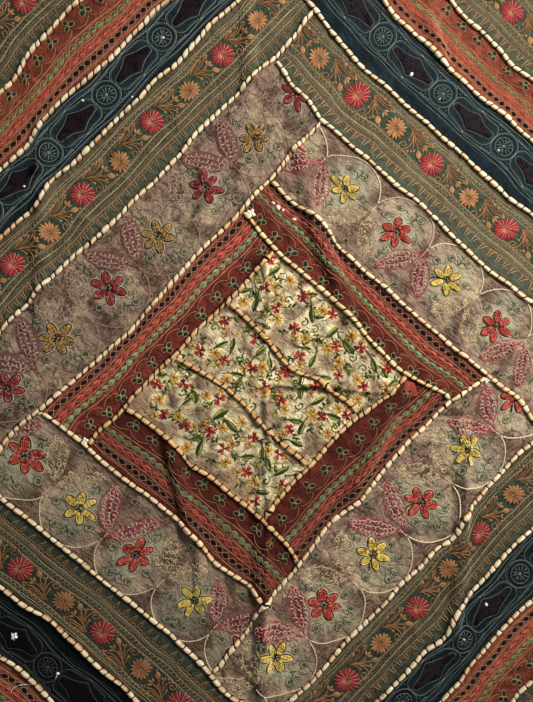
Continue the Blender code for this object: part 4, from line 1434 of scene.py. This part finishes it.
# Its two rosettes: where the petals begin and end and how wide they are, in mm, how far the spokes
# between them go, and the dyes of the petals, those spokes, the short ones and the heart
rosettes = ({"petals": (3.5, 14.6, 3.9), "shape": petal, "spokes": (0.001, 0.007, 0.0148),
             "dyes": ("93222e", "cf8f78", "b8664e", "96403a")},
            {"petals": (2.0, 13.6, 4.2), "shape": leaf, "spokes": (0.002, 0.006, 0.0125),
             "dyes": ("a67750", "6b4428", "b98a5e", "6b4428")})
# One spray of the olive border, in mm from the rosette before it: its stems, its dots (along, out,
# size) and its leaves (along, out, turn in radians, length, width)
sprayStrokes = (((13.6, 11), (18, 14), (24, 15.5), (27.5, 16)), ((17, 12.5), (27, 12.2), (34, 12), (38, 15)),
                ((18, 11), (28, 9.6), (36, 9.6), (43, 13.2)), ((14, 11.5), (20, 8), (25, 4.5), (28, 1.5)),
                ((15, 12.5), (22, 8), (28, 3.5), (33, 1.5)), ((25, 6.5), (31, 4.2), (37, 4.4)),
                ((26, 2.2), (32, -0.3), (36, -4)), ((23, 4.5), (27.5, -1.5), (30.8, -7.5)),
                ((21, 7), (24.6, 0), (25.3, -6), (23.3, -12), (19, -15.2), (14.6, -12.5), (14.6, -8),
                 (18.3, -5.3), (21.6, -7.4), (20.5, -10.6), (18.4, -10)),
                ((18, 9), (19.6, 4), (20.2, 0)), ((31.5, 15.0), (33.5, 18.6), (36.4, 17.2), (34.4, 14.6)))
sprayDots = ((27.6, 16.4, 4.2), (34.2, 16.6, 2.2), (43.8, 15.3, 3.0), (46, 13.2, 3.4), (43.5, 11.4, 2.8),
             (32.8, -6.7, 3.4), (30.6, -9.2, 2.8), (27.2, -11.6, 3.0), (20.2, -0.8, 3.4), (45.2, -10.4, 2.8),
             (22.5, 17.6, 2.4))
sprayLeaves = ((39.6, 7.2, 0.75, 7.0, 3.2), (41, 4.2, 0.0, 7.4, 3.2), (39.8, 1.4, -0.7, 6.4, 3.0),
               (39.6, -6.6, -0.68, 10.5, 6.8))


def zigzag(batch, reach, low, high, pitch, radius, code, offset=0.0):
    along = np.arange(math.floor(reach[0] / pitch) * pitch, reach[1] + pitch, pitch / 2) + offset
    out = np.where(np.arange(len(along)) % 2 == 0, low, high)
    sew(batch, pairs(along, out), radius, code, 0.0001)


def sewRosette(pads, threads, x, y, facts):
    count = oliveWork["petals"]
    angle = turnsOf(count) + jitter(0.06, count)
    inner, outer, width = facts["petals"]
    petalDye, spokeDye, shortDye, heartDye = facts["dyes"]
    size = (outer - inner) * mm * rng.uniform(0.9, 1.06, count)
    stamp(pads, facts["shape"], *outwards(x, y, angle, inner * mm + size / 2).T, angle, size, width * mm,
          0.0013, shades(petalDye, count, 0.22))
    sew(threads, rays(x, y, angle + math.pi / count, facts["spokes"]), 0.00055, spokeDye, 0.0006)
    sew(threads, rays(x, y, angle, (0.0, 0.003, 0.0065))[::2], 0.0005, shortDye, 0.0010)
    addKnots(pads, x, y, 0.0030, 0.0018, heartDye)


def sewOlive(lay):
    pads, threads, reach = newBatch(), newBatch(), patternReach(lay)
    pitch, out, gold = oliveWork["pitch"] * mm, oliveWork["out"] * mm, oliveWork["gold"]
    for number in motifNumbers(reach, pitch):
        x, y = number * pitch + jitter(0.001), out + jitter(0.001)
        sewRosette(pads, threads, x, y, rosettes[number % 2])
        tilt = jitter(0.05)
        for stroke in sprayStrokes:
            sew(threads, softened(about(x, y, tilt, stroke), 1), 0.00078, shades(gold, 1, 0.2), 0.0002)
        for dx, dy, wide in sprayDots:
            addKnots(pads, *about(x, y, tilt, [(dx, dy)])[0], wide * mm, 0.0011, shades(gold, 1, 0.2))
        for dx, dy, turn, length, width in sprayLeaves:
            stamp(pads, leaf, *about(x, y, tilt, [(dx, dy)])[0], turn, length * mm, width * mm, 0.0013,
                  shades(gold, 1, 0.2))
    lace = oliveWork["lace"]
    for low, high, crossed in oliveWork["bands"]:
        for level in (low, high):
            straightRow(threads, reach, level * mm, 0.00050, lace, 0.0004)
        for offset in (0.0, oliveWork["crossing"] * mm) if crossed else (0.0,):
            zigzag(threads, reach, (low + 0.6) * mm, (high - 0.6) * mm, 0.0056, 0.00052, lace, offset)
    zigzag(threads, reach, 0.0320, 0.0335, 0.0040, 0.00035, lace)
    straightRow(threads, reach, 0.0700, 0.0004, lace)
    step = oliveWork["scallopPitch"] * mm
    starts = repeats(reach, step)
    swing = np.linspace(0, math.pi, 6)
    scallop = pairs(np.cos(swing) * 0.0031, 0.0160 - np.sin(swing) * 0.0030)
    for offset in (0.0, step / 2):
        sew(threads, copiesAlong(scallop, starts + offset), 0.0005, oliveWork["scallop"], 0.0002)
    hang = np.array([(-2.2, 15.0), (-1.4, 8.8), (-0.2, 3.0), (1.4, 8.8), (2.2, 15.0)]) * mm
    lean = jitter(0.0022, len(starts)) - 0.0012
    hangs = copiesAlong(hang, starts + jitter(0.001, len(starts)))
    hangs[:, 1:4, 0] += lean[:, None] * (0.5, 1.0, 0.5)
    sew(threads, hangs, 0.00060, oliveWork["fringe"], 0.0002)
    return pads, threads


tealWork = {"pitch": 97.5, "out": 31.5, "plum": "180b17", "speck": "07060f", "thread": "87938d",
            "faint": "4d5c5f", "pale": "a3aa9c", "spokes": 12, "specks": 30,
            # each plain row: how far out, its dye, and how uneven it is, in mm
            "rows": ((7.2, "faint", 0.50), (8.8, "thread", 0.70), (12.8, "thread", 0.30),
                     (14.2, "faint", 0.30), (50.2, "thread", 0.30), (52.2, "faint", 0.30),
                     (55.0, "thread", 0.50), (58.5, "faint", 0.50))}
# Quarters of the lozenge and of the line around it, in mm from its middle
lozengeQuarter = ((-30, 0), (-29, 4.0), (-14, 6.8), (-7, 9.6), (0, 13.6))
frameQuarter = ((-33.5, 4.5), (-31, 11.0), (-26, 14.6), (-10, 15.6), (-3.5, 16.8), (0, 19.0))


def mirrored(quarter):
    # a closed path from one quarter of it
    top = list(quarter) + [(-px, py) for px, py in quarter[-2::-1]]
    bottom = [(px, -py) for px, py in top[::-1] if py]
    path = top + bottom
    return path if path[0] == path[-1] else path + path[:1]


def sewWheel(threads, x, y, dyes):
    squash = rng.uniform(0.92, 1.0)
    for size, kind in ((0.0345, "thread"), (0.0318, "faint"), (0.0225, "thread")):
        sew(threads, ringPaths(x, y, rng.uniform(0, 3), size, size * squash, 24), 0.00044, dyes[kind], 0.0001)
    count = tealWork["spokes"]
    spokes = turnsOf(count) + rng.uniform(0, 1)
    for reach, kind, radius in (((0.0036, 0.0062, 0.0092), "thread", 0.00046),
                                ((0.0006, 0.0013, 0.0022), "pale", 0.00040)):
        astray = jitter(0.0005, 2 * count).reshape(count, 1, 2)
        sew(threads, rays(x, y, spokes, reach) + astray, radius, dyes[kind], 0.0002)


def sewTeal(lay):
    pads, threads, reach = newBatch(), newBatch(), patternReach(lay)
    pitch, out = tealWork["pitch"] * mm, tealWork["out"] * mm
    dyes = {kind: np.array(dye(tealWork[kind])) for kind in ("thread", "faint", "pale")}
    for number in motifNumbers(reach, pitch):
        x, y = number * pitch, out + jitter(0.001)
        sewWheel(threads, x, y, dyes)
        middle = x + pitch / 2
        shape = np.array(mirrored(lozengeQuarter)) * mm + (middle, y)
        addPatch(pads, shape, tealWork["plum"])
        far = jitter(1, tealWork["specks"])
        aside = jitter(0.010, len(far)) * (1 - np.abs(far))
        specks = pairs(middle + 0.026 * far, y + aside)
        curls(pads, specks, 0.0040, 0.00080, tealWork["speck"], 0.5, 2.4, 0.0003)
        sew(threads, evenly(shape, 0.003), 0.00046, dyes["thread"] * 0.8, 0.0002)
        around = about(middle, y, 0.0, mirrored(frameQuarter))
        sew(threads, evenly(around, 0.003), 0.00044, dyes["thread"], 0.0001)
        sew(threads, evenly((around - (middle, y)) * (0.955, 0.90) + (middle, y), 0.003), 0.00035,
            dyes["faint"], 0.0001)
        for sx in (1, -1):
            for sy in (1, -1):
                addKnots(threads, middle + sx * 0.0005, y + sy * 0.0180, 0.0022, 0.0010, dyes["thread"])
                run, swing = np.linspace(0, 1, 9), (-1.0) ** np.arange(9)
                squiggle = pairs(middle + sx * (0.0265 + 0.0150 * run), y + sy * (0.0176 + 0.0015 * swing))
                sew(threads, softened(squiggle, 1), 0.00042, dyes["thread"], 0.0001)
                small = pairs(middle + sx * (0.0318 + 0.0035 * run), y + sy * (0.0135 + 0.0012 * swing))
                sew(threads, softened(small[:5], 1), 0.00042, dyes["faint"], 0.0001)
    for level, code, wave in tealWork["rows"]:
        straightRow(threads, reach, level * mm, 0.00042, dyes[code], wave * mm)
    return pads, threads


# How much of its strip's tone, mostly painted shade, the floss takes, as a power
flossFollows = 0.8
borders = {"red": sewRed, "brown": sewBrown, "olive": sewOlive, "teal": sewTeal, "russet": sewRed,
           "corner": sewOlive}
for ring, sewBorder in borders.items():
    padParts, threadParts = [], []
    for side in sides:
        lay = layOf(ring, side)
        pads, threads = sewBorder(lay)
        # the floss takes on part of its strip's painted shade
        tone = stripShadeOf(ring, side) ** flossFollows
        for batch in (pads, threads):
            batch["dye"] = [part * tone for part in batch["dye"]]
        padParts.append(onSide(pads, lay))
        threadParts.append(onSide(threads, lay))
    finishBorder(ring, padParts, threadParts)


floralWork = {"red": "b0332b", "darkRed": "741c20", "rose": "c05246", "gold": "cc9c50", "paleGold": "dab970",
              "lime": "9a9a4a", "leaf": "46592a", "darkLeaf": "2a3d22", "stem": "33391f", "cream": "dcd2a8",
              "brown": "7a5126", "redHeart": "4a1418"}
# The short threads strewn between the flowers: their dye, how many, how long and how thick, in metres
floralStrewn = (("cream", 90, 0.014, 0.00042), ("lime", 110, 0.007, 0.00060),
                ("darkLeaf", 150, 0.006, 0.00065), ("gold", 90, 0.005, 0.00070),
                ("brown", 90, 0.006, 0.00050), ("red", 60, 0.004, 0.00070))


def sewBlossom(pads, threads, x, y, count, size, codes, heart):
    # petals notched at their ends, each of two ovals side by side
    angle = anyTurn() + turnsOf(count) + jitter(0.25, count)
    length = size * rng.uniform(0.80, 1.12, count)
    for number in range(count):
        for lean in (-0.27, 0.27):
            turn = angle[number] + lean + jitter(0.08)
            stamp(pads, petal, *outwards(x, y, turn, 0.0008 + length[number] / 2), turn,
                  length[number] * rng.uniform(0.85, 1.1), length[number] * 0.50, 0.0010,
                  shades(rng.choice(codes), 1, 0.2))
    addKnots(pads, x, y, 0.0024, 0.0015, heart)
    sew(threads, rays(x, y, angle, (0.001, 0.0050)), 0.00036, heart, 0.0008)


def sewSprig(pads, threads, x, y, lean):
    # a bending stem with small leaves to its sides and a bud at its end
    run = np.linspace(0.003, 0.019, 7)
    bend = jitter(28)
    line = outwards(x, y, lean + run * bend, run)
    sew(threads, line, 0.00055, floralWork["stem"], 0.0001)
    for index, aside in ((2, 1), (3, -1), (4, 1), (5, -1), (6, 1)):
        turn = lean + run[index] * bend + aside * 0.9
        stamp(pads, leaf, *outwards(*line[index], turn, 0.0022), turn, rng.uniform(0.0040, 0.0082),
              rng.uniform(0.0020, 0.0032), 0.0009,
              shades(floralWork[rng.choice(("leaf", "lime", "darkLeaf"))], 1, 0.25))


def sewFloral():
    pads, threads = newBatch(), newBatch()
    golds = (floralWork["gold"], floralWork["paleGold"], floralWork["gold"])
    reds = (floralWork["red"], floralWork["rose"], floralWork["darkRed"], floralWork["red"])
    for x, y in np.array(redFlowers) * mm:
        lean = anyTurn()
        sewSprig(pads, threads, x, y, lean)
        sewSprig(pads, threads, x, y, lean + rng.uniform(2, 4))
        beside = outwards(x, y, lean + rng.uniform(0.8, 1.6), 0.0105)
        sewBlossom(pads, threads, *beside, 4, 0.0050, golds, floralWork["brown"])
        sewBlossom(pads, threads, x, y, rng.choice((3, 4, 4)), 0.0072, reds, floralWork["redHeart"])
    for x, y in np.array(goldFlowers) * mm:
        sewBlossom(pads, threads, x, y, 5, 0.0068, golds, floralWork["brown"])
        sewSprig(pads, threads, x, y, anyTurn())
    for u, v, turn, size in floralLeaves:
        angle, x, y = math.radians(turn), u * mm, v * mm
        stamp(pads, leaf, x, y, angle, size * mm, size * 0.36 * mm, 0.0009,
              shades(floralWork["lime"], 1, 0.2))
        aside = rng.choice((-1, 1)) * size * 0.07 * mm
        stamp(pads, leaf, x - aside * math.sin(angle), y + aside * math.cos(angle), angle, size * 0.94 * mm,
              size * 0.25 * mm, 0.0013, shades(floralWork[rng.choice(("leaf", "darkLeaf"))], 1, 0.2))
        stem = about(x, y, angle, [(-1.05 * size, jitter(0.3) * size), (-0.7 * size, 0),
                                   (-0.3 * size, 0.3), (0.45 * size, 0)])
        sew(threads, softened(stem, 1), 0.00055, floralWork["stem"], 0.0010)
        for aside in (-0.15, 0.17):
            edge = about(x, y, angle, [(-0.45 * size, 0), (-0.1 * size, aside * size),
                                       (0.25 * size, aside * size), (0.52 * size, 0.04 * size)])
            sew(threads, edge, 0.0005, floralWork[rng.choice(("darkLeaf", "lime", "stem"))], 0.0006)
    for x, y in np.array(floralCurls) * mm:
        sew(threads, spiral(x, y, 0.0058, 1.2, rng.uniform(0, 6), 12, rng.choice((1, -1))), 0.0008,
            floralWork["darkLeaf"], 0.0001)
    near = np.array([flower[:2] for flower in redFlowers + goldFlowers + floralLeaves])
    for code, count, size, radius in floralStrewn:
        place = near[rng.integers(len(near), size=count)] * mm + rng.normal(0, 0.0105, (count, 2))
        lean, bend = anyTurn((count, 1)), jitter(90, (count, 1))
        run = np.linspace(0, 1, 5) * size * rng.uniform(0.6, 1.4, (count, 1))
        lines = place[:, None] + outwards(0, 0, lean + run * bend, run)
        sew(threads, lines, radius, shades(floralWork[code], count, 0.25), 0.0001)
    return pads, threads


def sewMiddle():
    pads, threads = sewFloral()
    for batch in (pads, threads):
        u, v, height = np.concatenate(batch["points"]).T
        batch["points"] = [np.column_stack([*cutFromMade("floral", u, v), height])]
    padParts, threadParts = [], []
    for reach in zip(marks, marks[1:]):
        cuts = boxCuts((middleReach, reach), stitchGap["seam"])
        padParts.append(clipped(pads, cuts))
        threadParts.append(clipped(threads, cuts))
    finishBorder("floral", padParts, threadParts)


sewMiddle()


# Each cord is soft roving that a black thread ties down after every puff, in mm, except that where it
# sits, how high it is and where the tie goes are shares of its radius
cord = {"radius": 2.8, "endGap": 1.6, "puff": 10.4, "stray": 1.6, "fromEdge": 2.0, "corners": 9,
        "fatness": (0.78, 1.10), "squareness": 0.85, "seat": 0.78, "height": 0.80, "tieFoot": 0.10,
        "tieHeight": 1.40, "tie": "0d0908",
        "slant": {"nw": -0.60, "ne": -0.26, "se": -0.30, "sw": -0.24, "middle": -0.12}}
# The roving's pale and deep dye along each ring's cords; the deep dye also gives the painted shade at the
# sides and ends of the puffs
cordTones = {"middle": ("e2b67c", "8e5228"), "floral": ("e6bf88", "955a2e"),
             "floral_ne": ("eed9a4", "a8743f"), "red": ("f6e2b8", "b07844"), "other": ("f8e8c4", "b8824e")}
# How much of the deep dye a puff, its sides, its ends and its mottling take, less what stays pale: the sides
# and the pinched ends are painted shade, with a paler top between the sides
deepDye = {"puff": 0.7, "side": 1.1, "end": 1.3, "mottle": 0.8, "pale": 0.40}
# The tie's thickness, and how wide it lies for the cord's radius: finer round the outer rings
tieSizes = {"floral": (0.00072, 1.36), "other": (0.00062, 1.12)}
cordStop = (cord["radius"] + cord["endGap"]) * mm
# One puff between two ties: its width at each share of its length
puffShape = ((0.03, 0.56), (0.10, 0.88), (0.30, 1.0), (0.66, 1.03), (0.90, 0.88), (0.97, 0.56))


def cordRun(ring, side):
    number, ends = ringNames.index(ring), []
    for end, inward in (("low", 1), ("high", -1)):
        corner, met = sides[side][end]
        stop = seam(met, ring)
        if ring == "russet":
            stop = -inward * quilt["far"]
        elif cornerOwner(ringNames[number + 1], corner) == side:
            stop = seam(met, ringNames[number + 1])
        ends.append(stop + inward * cordStop)
    return ends


def runInside(axis, place, run):
    # the part of a cord that lies inside the outline
    stations = np.arange(run[0], run[1], 0.0005)
    still = np.full_like(stations, place)
    x, y = placeFlat(*((still, stations) if axis == 0 else (stations, still)))
    edge = cord["fromEdge"] * mm
    inside = (np.abs(x) < quilt["width"] / 2 - edge) & (np.abs(y) < quilt["length"] / 2 - edge)
    return (stations[inside][0], stations[inside][-1]) if inside.any() else None


def onLine(axis, place, along, aside):
    # flat (u, v) of points along a seam and aside of it, the same way round on both axes
    return (place + aside, along) if axis == 0 else (along, place - aside)


def cordLean(slant, along, place):
    # how far the roving and its ties lean, changing slowly along a cord
    return slant * 2 * softNoise(along * 24, np.full_like(along, place * 90), 31)


def addCord(name, ring, axis, place, run):
    reach = runInside(axis, place, run)
    if reach is None:
        return
    radius, corners = cord["radius"] * mm, cord["corners"]
    ties = np.linspace(reach[0], reach[1], max(2, round((reach[1] - reach[0]) / (cord["puff"] * mm))) + 1)
    ties[1:-1] += jitter(cord["stray"] * mm, len(ties) - 2)
    rows = []
    for low, high in zip(ties, ties[1:]):
        fat, tone = rng.uniform(*cord["fatness"]), rng.random()
        rows += [(low + share * (high - low), width * fat, tone) for share, width in puffShape]
    stations, widths, tones = np.array(rows).T[:, :, None]
    angle = math.pi / 2 + 2 * math.pi * np.arange(corners) / corners
    aside = widths * radius * np.sign(np.cos(angle)) * np.abs(np.cos(angle)) ** cord["squareness"]
    height = radius * cord["seat"] + widths * radius * cord["height"] * np.sin(angle)
    slant = cord["slant"]["middle" if "middle" in name else name.split("_")[1]]
    flat = onLine(axis, place, stations + cordLean(slant, stations, place) * aside,
                  0.0005 * np.sin(stations * 90 + place * 400) + aside)
    points = np.stack([*flat, np.maximum(height, -0.0003)], axis=-1)
    kind = "middle" if "middle" in name else name if name in cordTones else ring
    pale, deep = (np.array(dye(code)) for code in cordTones.get(kind, cordTones["other"]))
    # painted shade: each puff darker at its pinched ends and its sides, paler along its top
    ends = np.clip((0.80 - widths) * 2.2, 0, 1)
    mottled = softNoise(stations * 380, np.full_like(stations, place * 70), 33)
    mixed = (deepDye["puff"] * tones ** 2 + deepDye["side"] * (np.abs(aside) / radius - 0.5)
             + deepDye["end"] * ends + deepDye["mottle"] * mottled - deepDye["pale"])
    shade = pale + (deep - pale) * np.clip(mixed, 0, 1)[..., None]
    stitch = np.stack([stations * np.ones(corners), aside, np.zeros(aside.shape)], axis=-1)
    cordParts.append((points.reshape(-1, 3), shade.reshape(-1, 3), stitch.reshape(-1, 3),
                      tubeTris(len(stations), corners)[:, (0, 2, 1)]))
    cordNodes.append("cord_" + name)
    addTies(ring, axis, place, ties[1:-1, None], slant)


def addTies(ring, axis, place, ties, slant):
    # a thread over the cord between every two puffs
    radius, (thick, wide) = cord["radius"] * mm, tieSizes.get(ring, tieSizes["other"])
    bend = np.linspace(-wide, wide, 7)
    arch = np.sqrt(np.clip(1 - (bend / wide / 1.02) ** 2, 0.0, 1))
    over = radius * (cord["tieFoot"] + cord["tieHeight"] * arch)
    lean = cordLean(slant, ties, place) + jitter(0.12, len(ties))[:, None]
    flat = onLine(axis, place, ties + lean * bend * radius, bend * radius + np.zeros(ties.shape))
    sew(tieBatch, np.stack([*flat, over + np.zeros(ties.shape)], axis=-1), thick, cord["tie"], -0.0002, 4)


tieBatch = newBatch()
for ring in ringNames:
    cordParts, cordNodes = [], []
    for side, facts in sides.items():
        addCord(ring + "_" + side, ring, facts["axis"], seam(side, ring), cordRun(ring, side))
    if ring == "floral":
        for label, value in floralSeams.items():
            addCord("middle_" + label, ring, 1, value * mm,
                    (middleReach[0] + cordStop, middleReach[1] - cordStop))
    finishSewing(ring + "_cords", cordParts, softRoving, cordNodes)
finishLoose("cord_ties", tieBatch, sewingThread)


# Small loose things left on the cloths, in mm of the flat cloth: tufts and knots (u, v, size), and
# the paths of thread ends and snips; also the corners of a painted sheen, a lighter patch of red cloth with
# lit threads, a painted highlight
loose = {"tufts": ((-166.2, 126.6, 11.0), (-175.4, -206.1, 5.5), (-116.4, -200.2, 8.0), (180.4, 172.8, 8.8),
                   (169.5, -135.6, 6.4), (-20.9, -426.5, 8.0)),
         "knots": ((-382.6, -22.8, 3.4), (-398.7, 99.9, 3.8), (-387.9, 222.5, 3.2), (-364.4, 142.4, 3.0),
                   (-146.2, 407.3, 5.4), (-99.4, 408.9, 2.8), (-1.5, 408.9, 3.2), (45.4, -428.4, 4.0),
                   (385.4, -26.4, 5.0), (384.5, -79.3, 3.4), (-154.2, 161.3, 5.0), (-147.2, 161.8, 7.0),
                   (-141.4, 163.2, 4.5), (-126.4, 162.2, 5.4)),
         "ends": (((33.8, -457.3), (26.7, -464.4), (21.3, -471.0), (20.1, -476.8), (22.1, -480.1)),
                  ((45.4, -428.4), (45.9, -431.0), (46.6, -432.1), (47.4, -434.6))),
         "snips": (((179.2, 183.6), (180.0, 187.2), (178.9, 189.5), (182.0, 188.0)),
                   ((178.9, 189.5), (184.2, 187.5), (184.0, 190.0), (184.8, 191.5)),
                   ((-187.3, -209.2), (-186.8, -204.7), (-184.9, -205.5), (-182.7, -204.1)),
                   ((-186.0, -207.2), (-184.4, -206.0), (-183.0, -207.0), (-181.2, -206.0))),
         "paintedSheen": ((107.6, 113.4), (119.3, 117.2), (135.8, 106.7), (123.8, 92.3)),
         "white": "f4efe4", "black": "0c0907", "rose": "8e3f2f", "paintedLit": "a9553e"}


def sewLoose():
    puffs, threads = newBatch(), newBatch()
    for u, v, size in loose["tufts"]:
        angle = anyTurn() + np.arange(4) * 1.6 + jitter(0.3, 4)
        stamp(puffs, oval, *outwards(u * mm, v * mm, angle, 0.27 * size * mm).T, angle, size * mm * 0.56,
              size * mm * 0.42, 0.0034, shades(loose["white"], 4, 0.08))
        wisp = about(u * mm, v * mm, anyTurn(), [(-0.6 * size, 0), (0, 1), (0.7 * size, 2)])
        sew(puffs, evenly(wisp, 0.002), 0.00035, loose["white"], 0.0022)
    for u, v, size in loose["knots"]:
        stamp(puffs, oval, u * mm, v * mm, rng.uniform(0, 3), size * mm, size * 0.72 * mm, 0.0022,
              loose["white"])
    for path in loose["ends"]:
        sew(puffs, softened(np.array(path) * mm), 0.00055, loose["white"], 0.0010)
    for path in loose["snips"]:
        sew(threads, np.array(path) * mm, 0.00075, loose["black"], 0.0024)
    # a painted highlight: a lighter patch of the red cloth, streaked with lit threads
    paintedSheen = np.array(loose["paintedSheen"]) * mm
    addPatch(threads, np.concatenate([paintedSheen, paintedSheen[:1]]), loose["rose"])
    for share in np.linspace(0.12, 0.88, 7):
        top, foot = paintedSheen[0] + share * (paintedSheen[1] - paintedSheen[0]), paintedSheen[3] + share * (paintedSheen[2] - paintedSheen[3])
        sew(threads, [top + 0.1 * (foot - top), foot - 0.1 * (foot - top)], 0.0005,
            shades(loose["paintedLit"], 1, 0.3), 0.0003)
    finishLoose("loose_tufts", puffs, softRoving)
    finishLoose("loose_threads", threads, sewingThread)


sewLoose()


# The floor, the lights and the camera
bpy.ops.mesh.primitive_plane_add(size=6.0, location=(0, 0, -0.0003))
floor = bpy.context.active_object
floor.name = "floor"
floorPaint, tree, shader = newMaterial("floorPaint")
shader.inputs["Base Color"].default_value = (0.80, 0.79, 0.77, 1)
shader.inputs["Roughness"].default_value = 0.9
floor.data.materials.append(floorPaint)

lights = {"key": {"at": (0.85, 0.70, 1.00), "size": 0.6, "power": 17.0, "spread": 120,
                  "colour": (1.0, 0.95, 0.87)},
          "fill": {"at": (-1.2, -0.2, 1.6), "size": 1.8, "power": 2.0, "spread": 180,
                   "colour": (0.97, 0.97, 1.0)}}
for name, facts in lights.items():
    lamp = bpy.data.lights.new(name, "AREA")
    lamp.shape, lamp.size = "DISK", facts["size"]
    lamp.energy, lamp.color, lamp.spread = facts["power"], facts["colour"], math.radians(facts["spread"])
    holder = newObject(name, lamp)
    holder.location = facts["at"]
    holder.rotation_euler = holder.location.to_track_quat("Z", "Y").to_euler()

world = bpy.data.worlds.new("studio")
world.use_nodes = True
sky = world.node_tree.nodes["Background"].inputs
sky["Color"].default_value, sky["Strength"].default_value = (1.0, 0.98, 0.95, 1), 0.16
bpy.context.scene.world = world
bpy.context.scene.view_settings.view_transform = "Standard"

view = {"at": (-0.0681, 0.0370, 0.8470), "tilt": (0.045, -4.955, -1.009), "lens": 35.74}
camera = bpy.data.cameras.new("camera")
camera.lens, camera.clip_start = view["lens"], 0.01
cameraHolder = newObject("camera", camera)
cameraHolder.location = view["at"]
cameraHolder.rotation_euler = [math.radians(angle) for angle in view["tilt"]]
bpy.context.scene.camera = cameraHolder
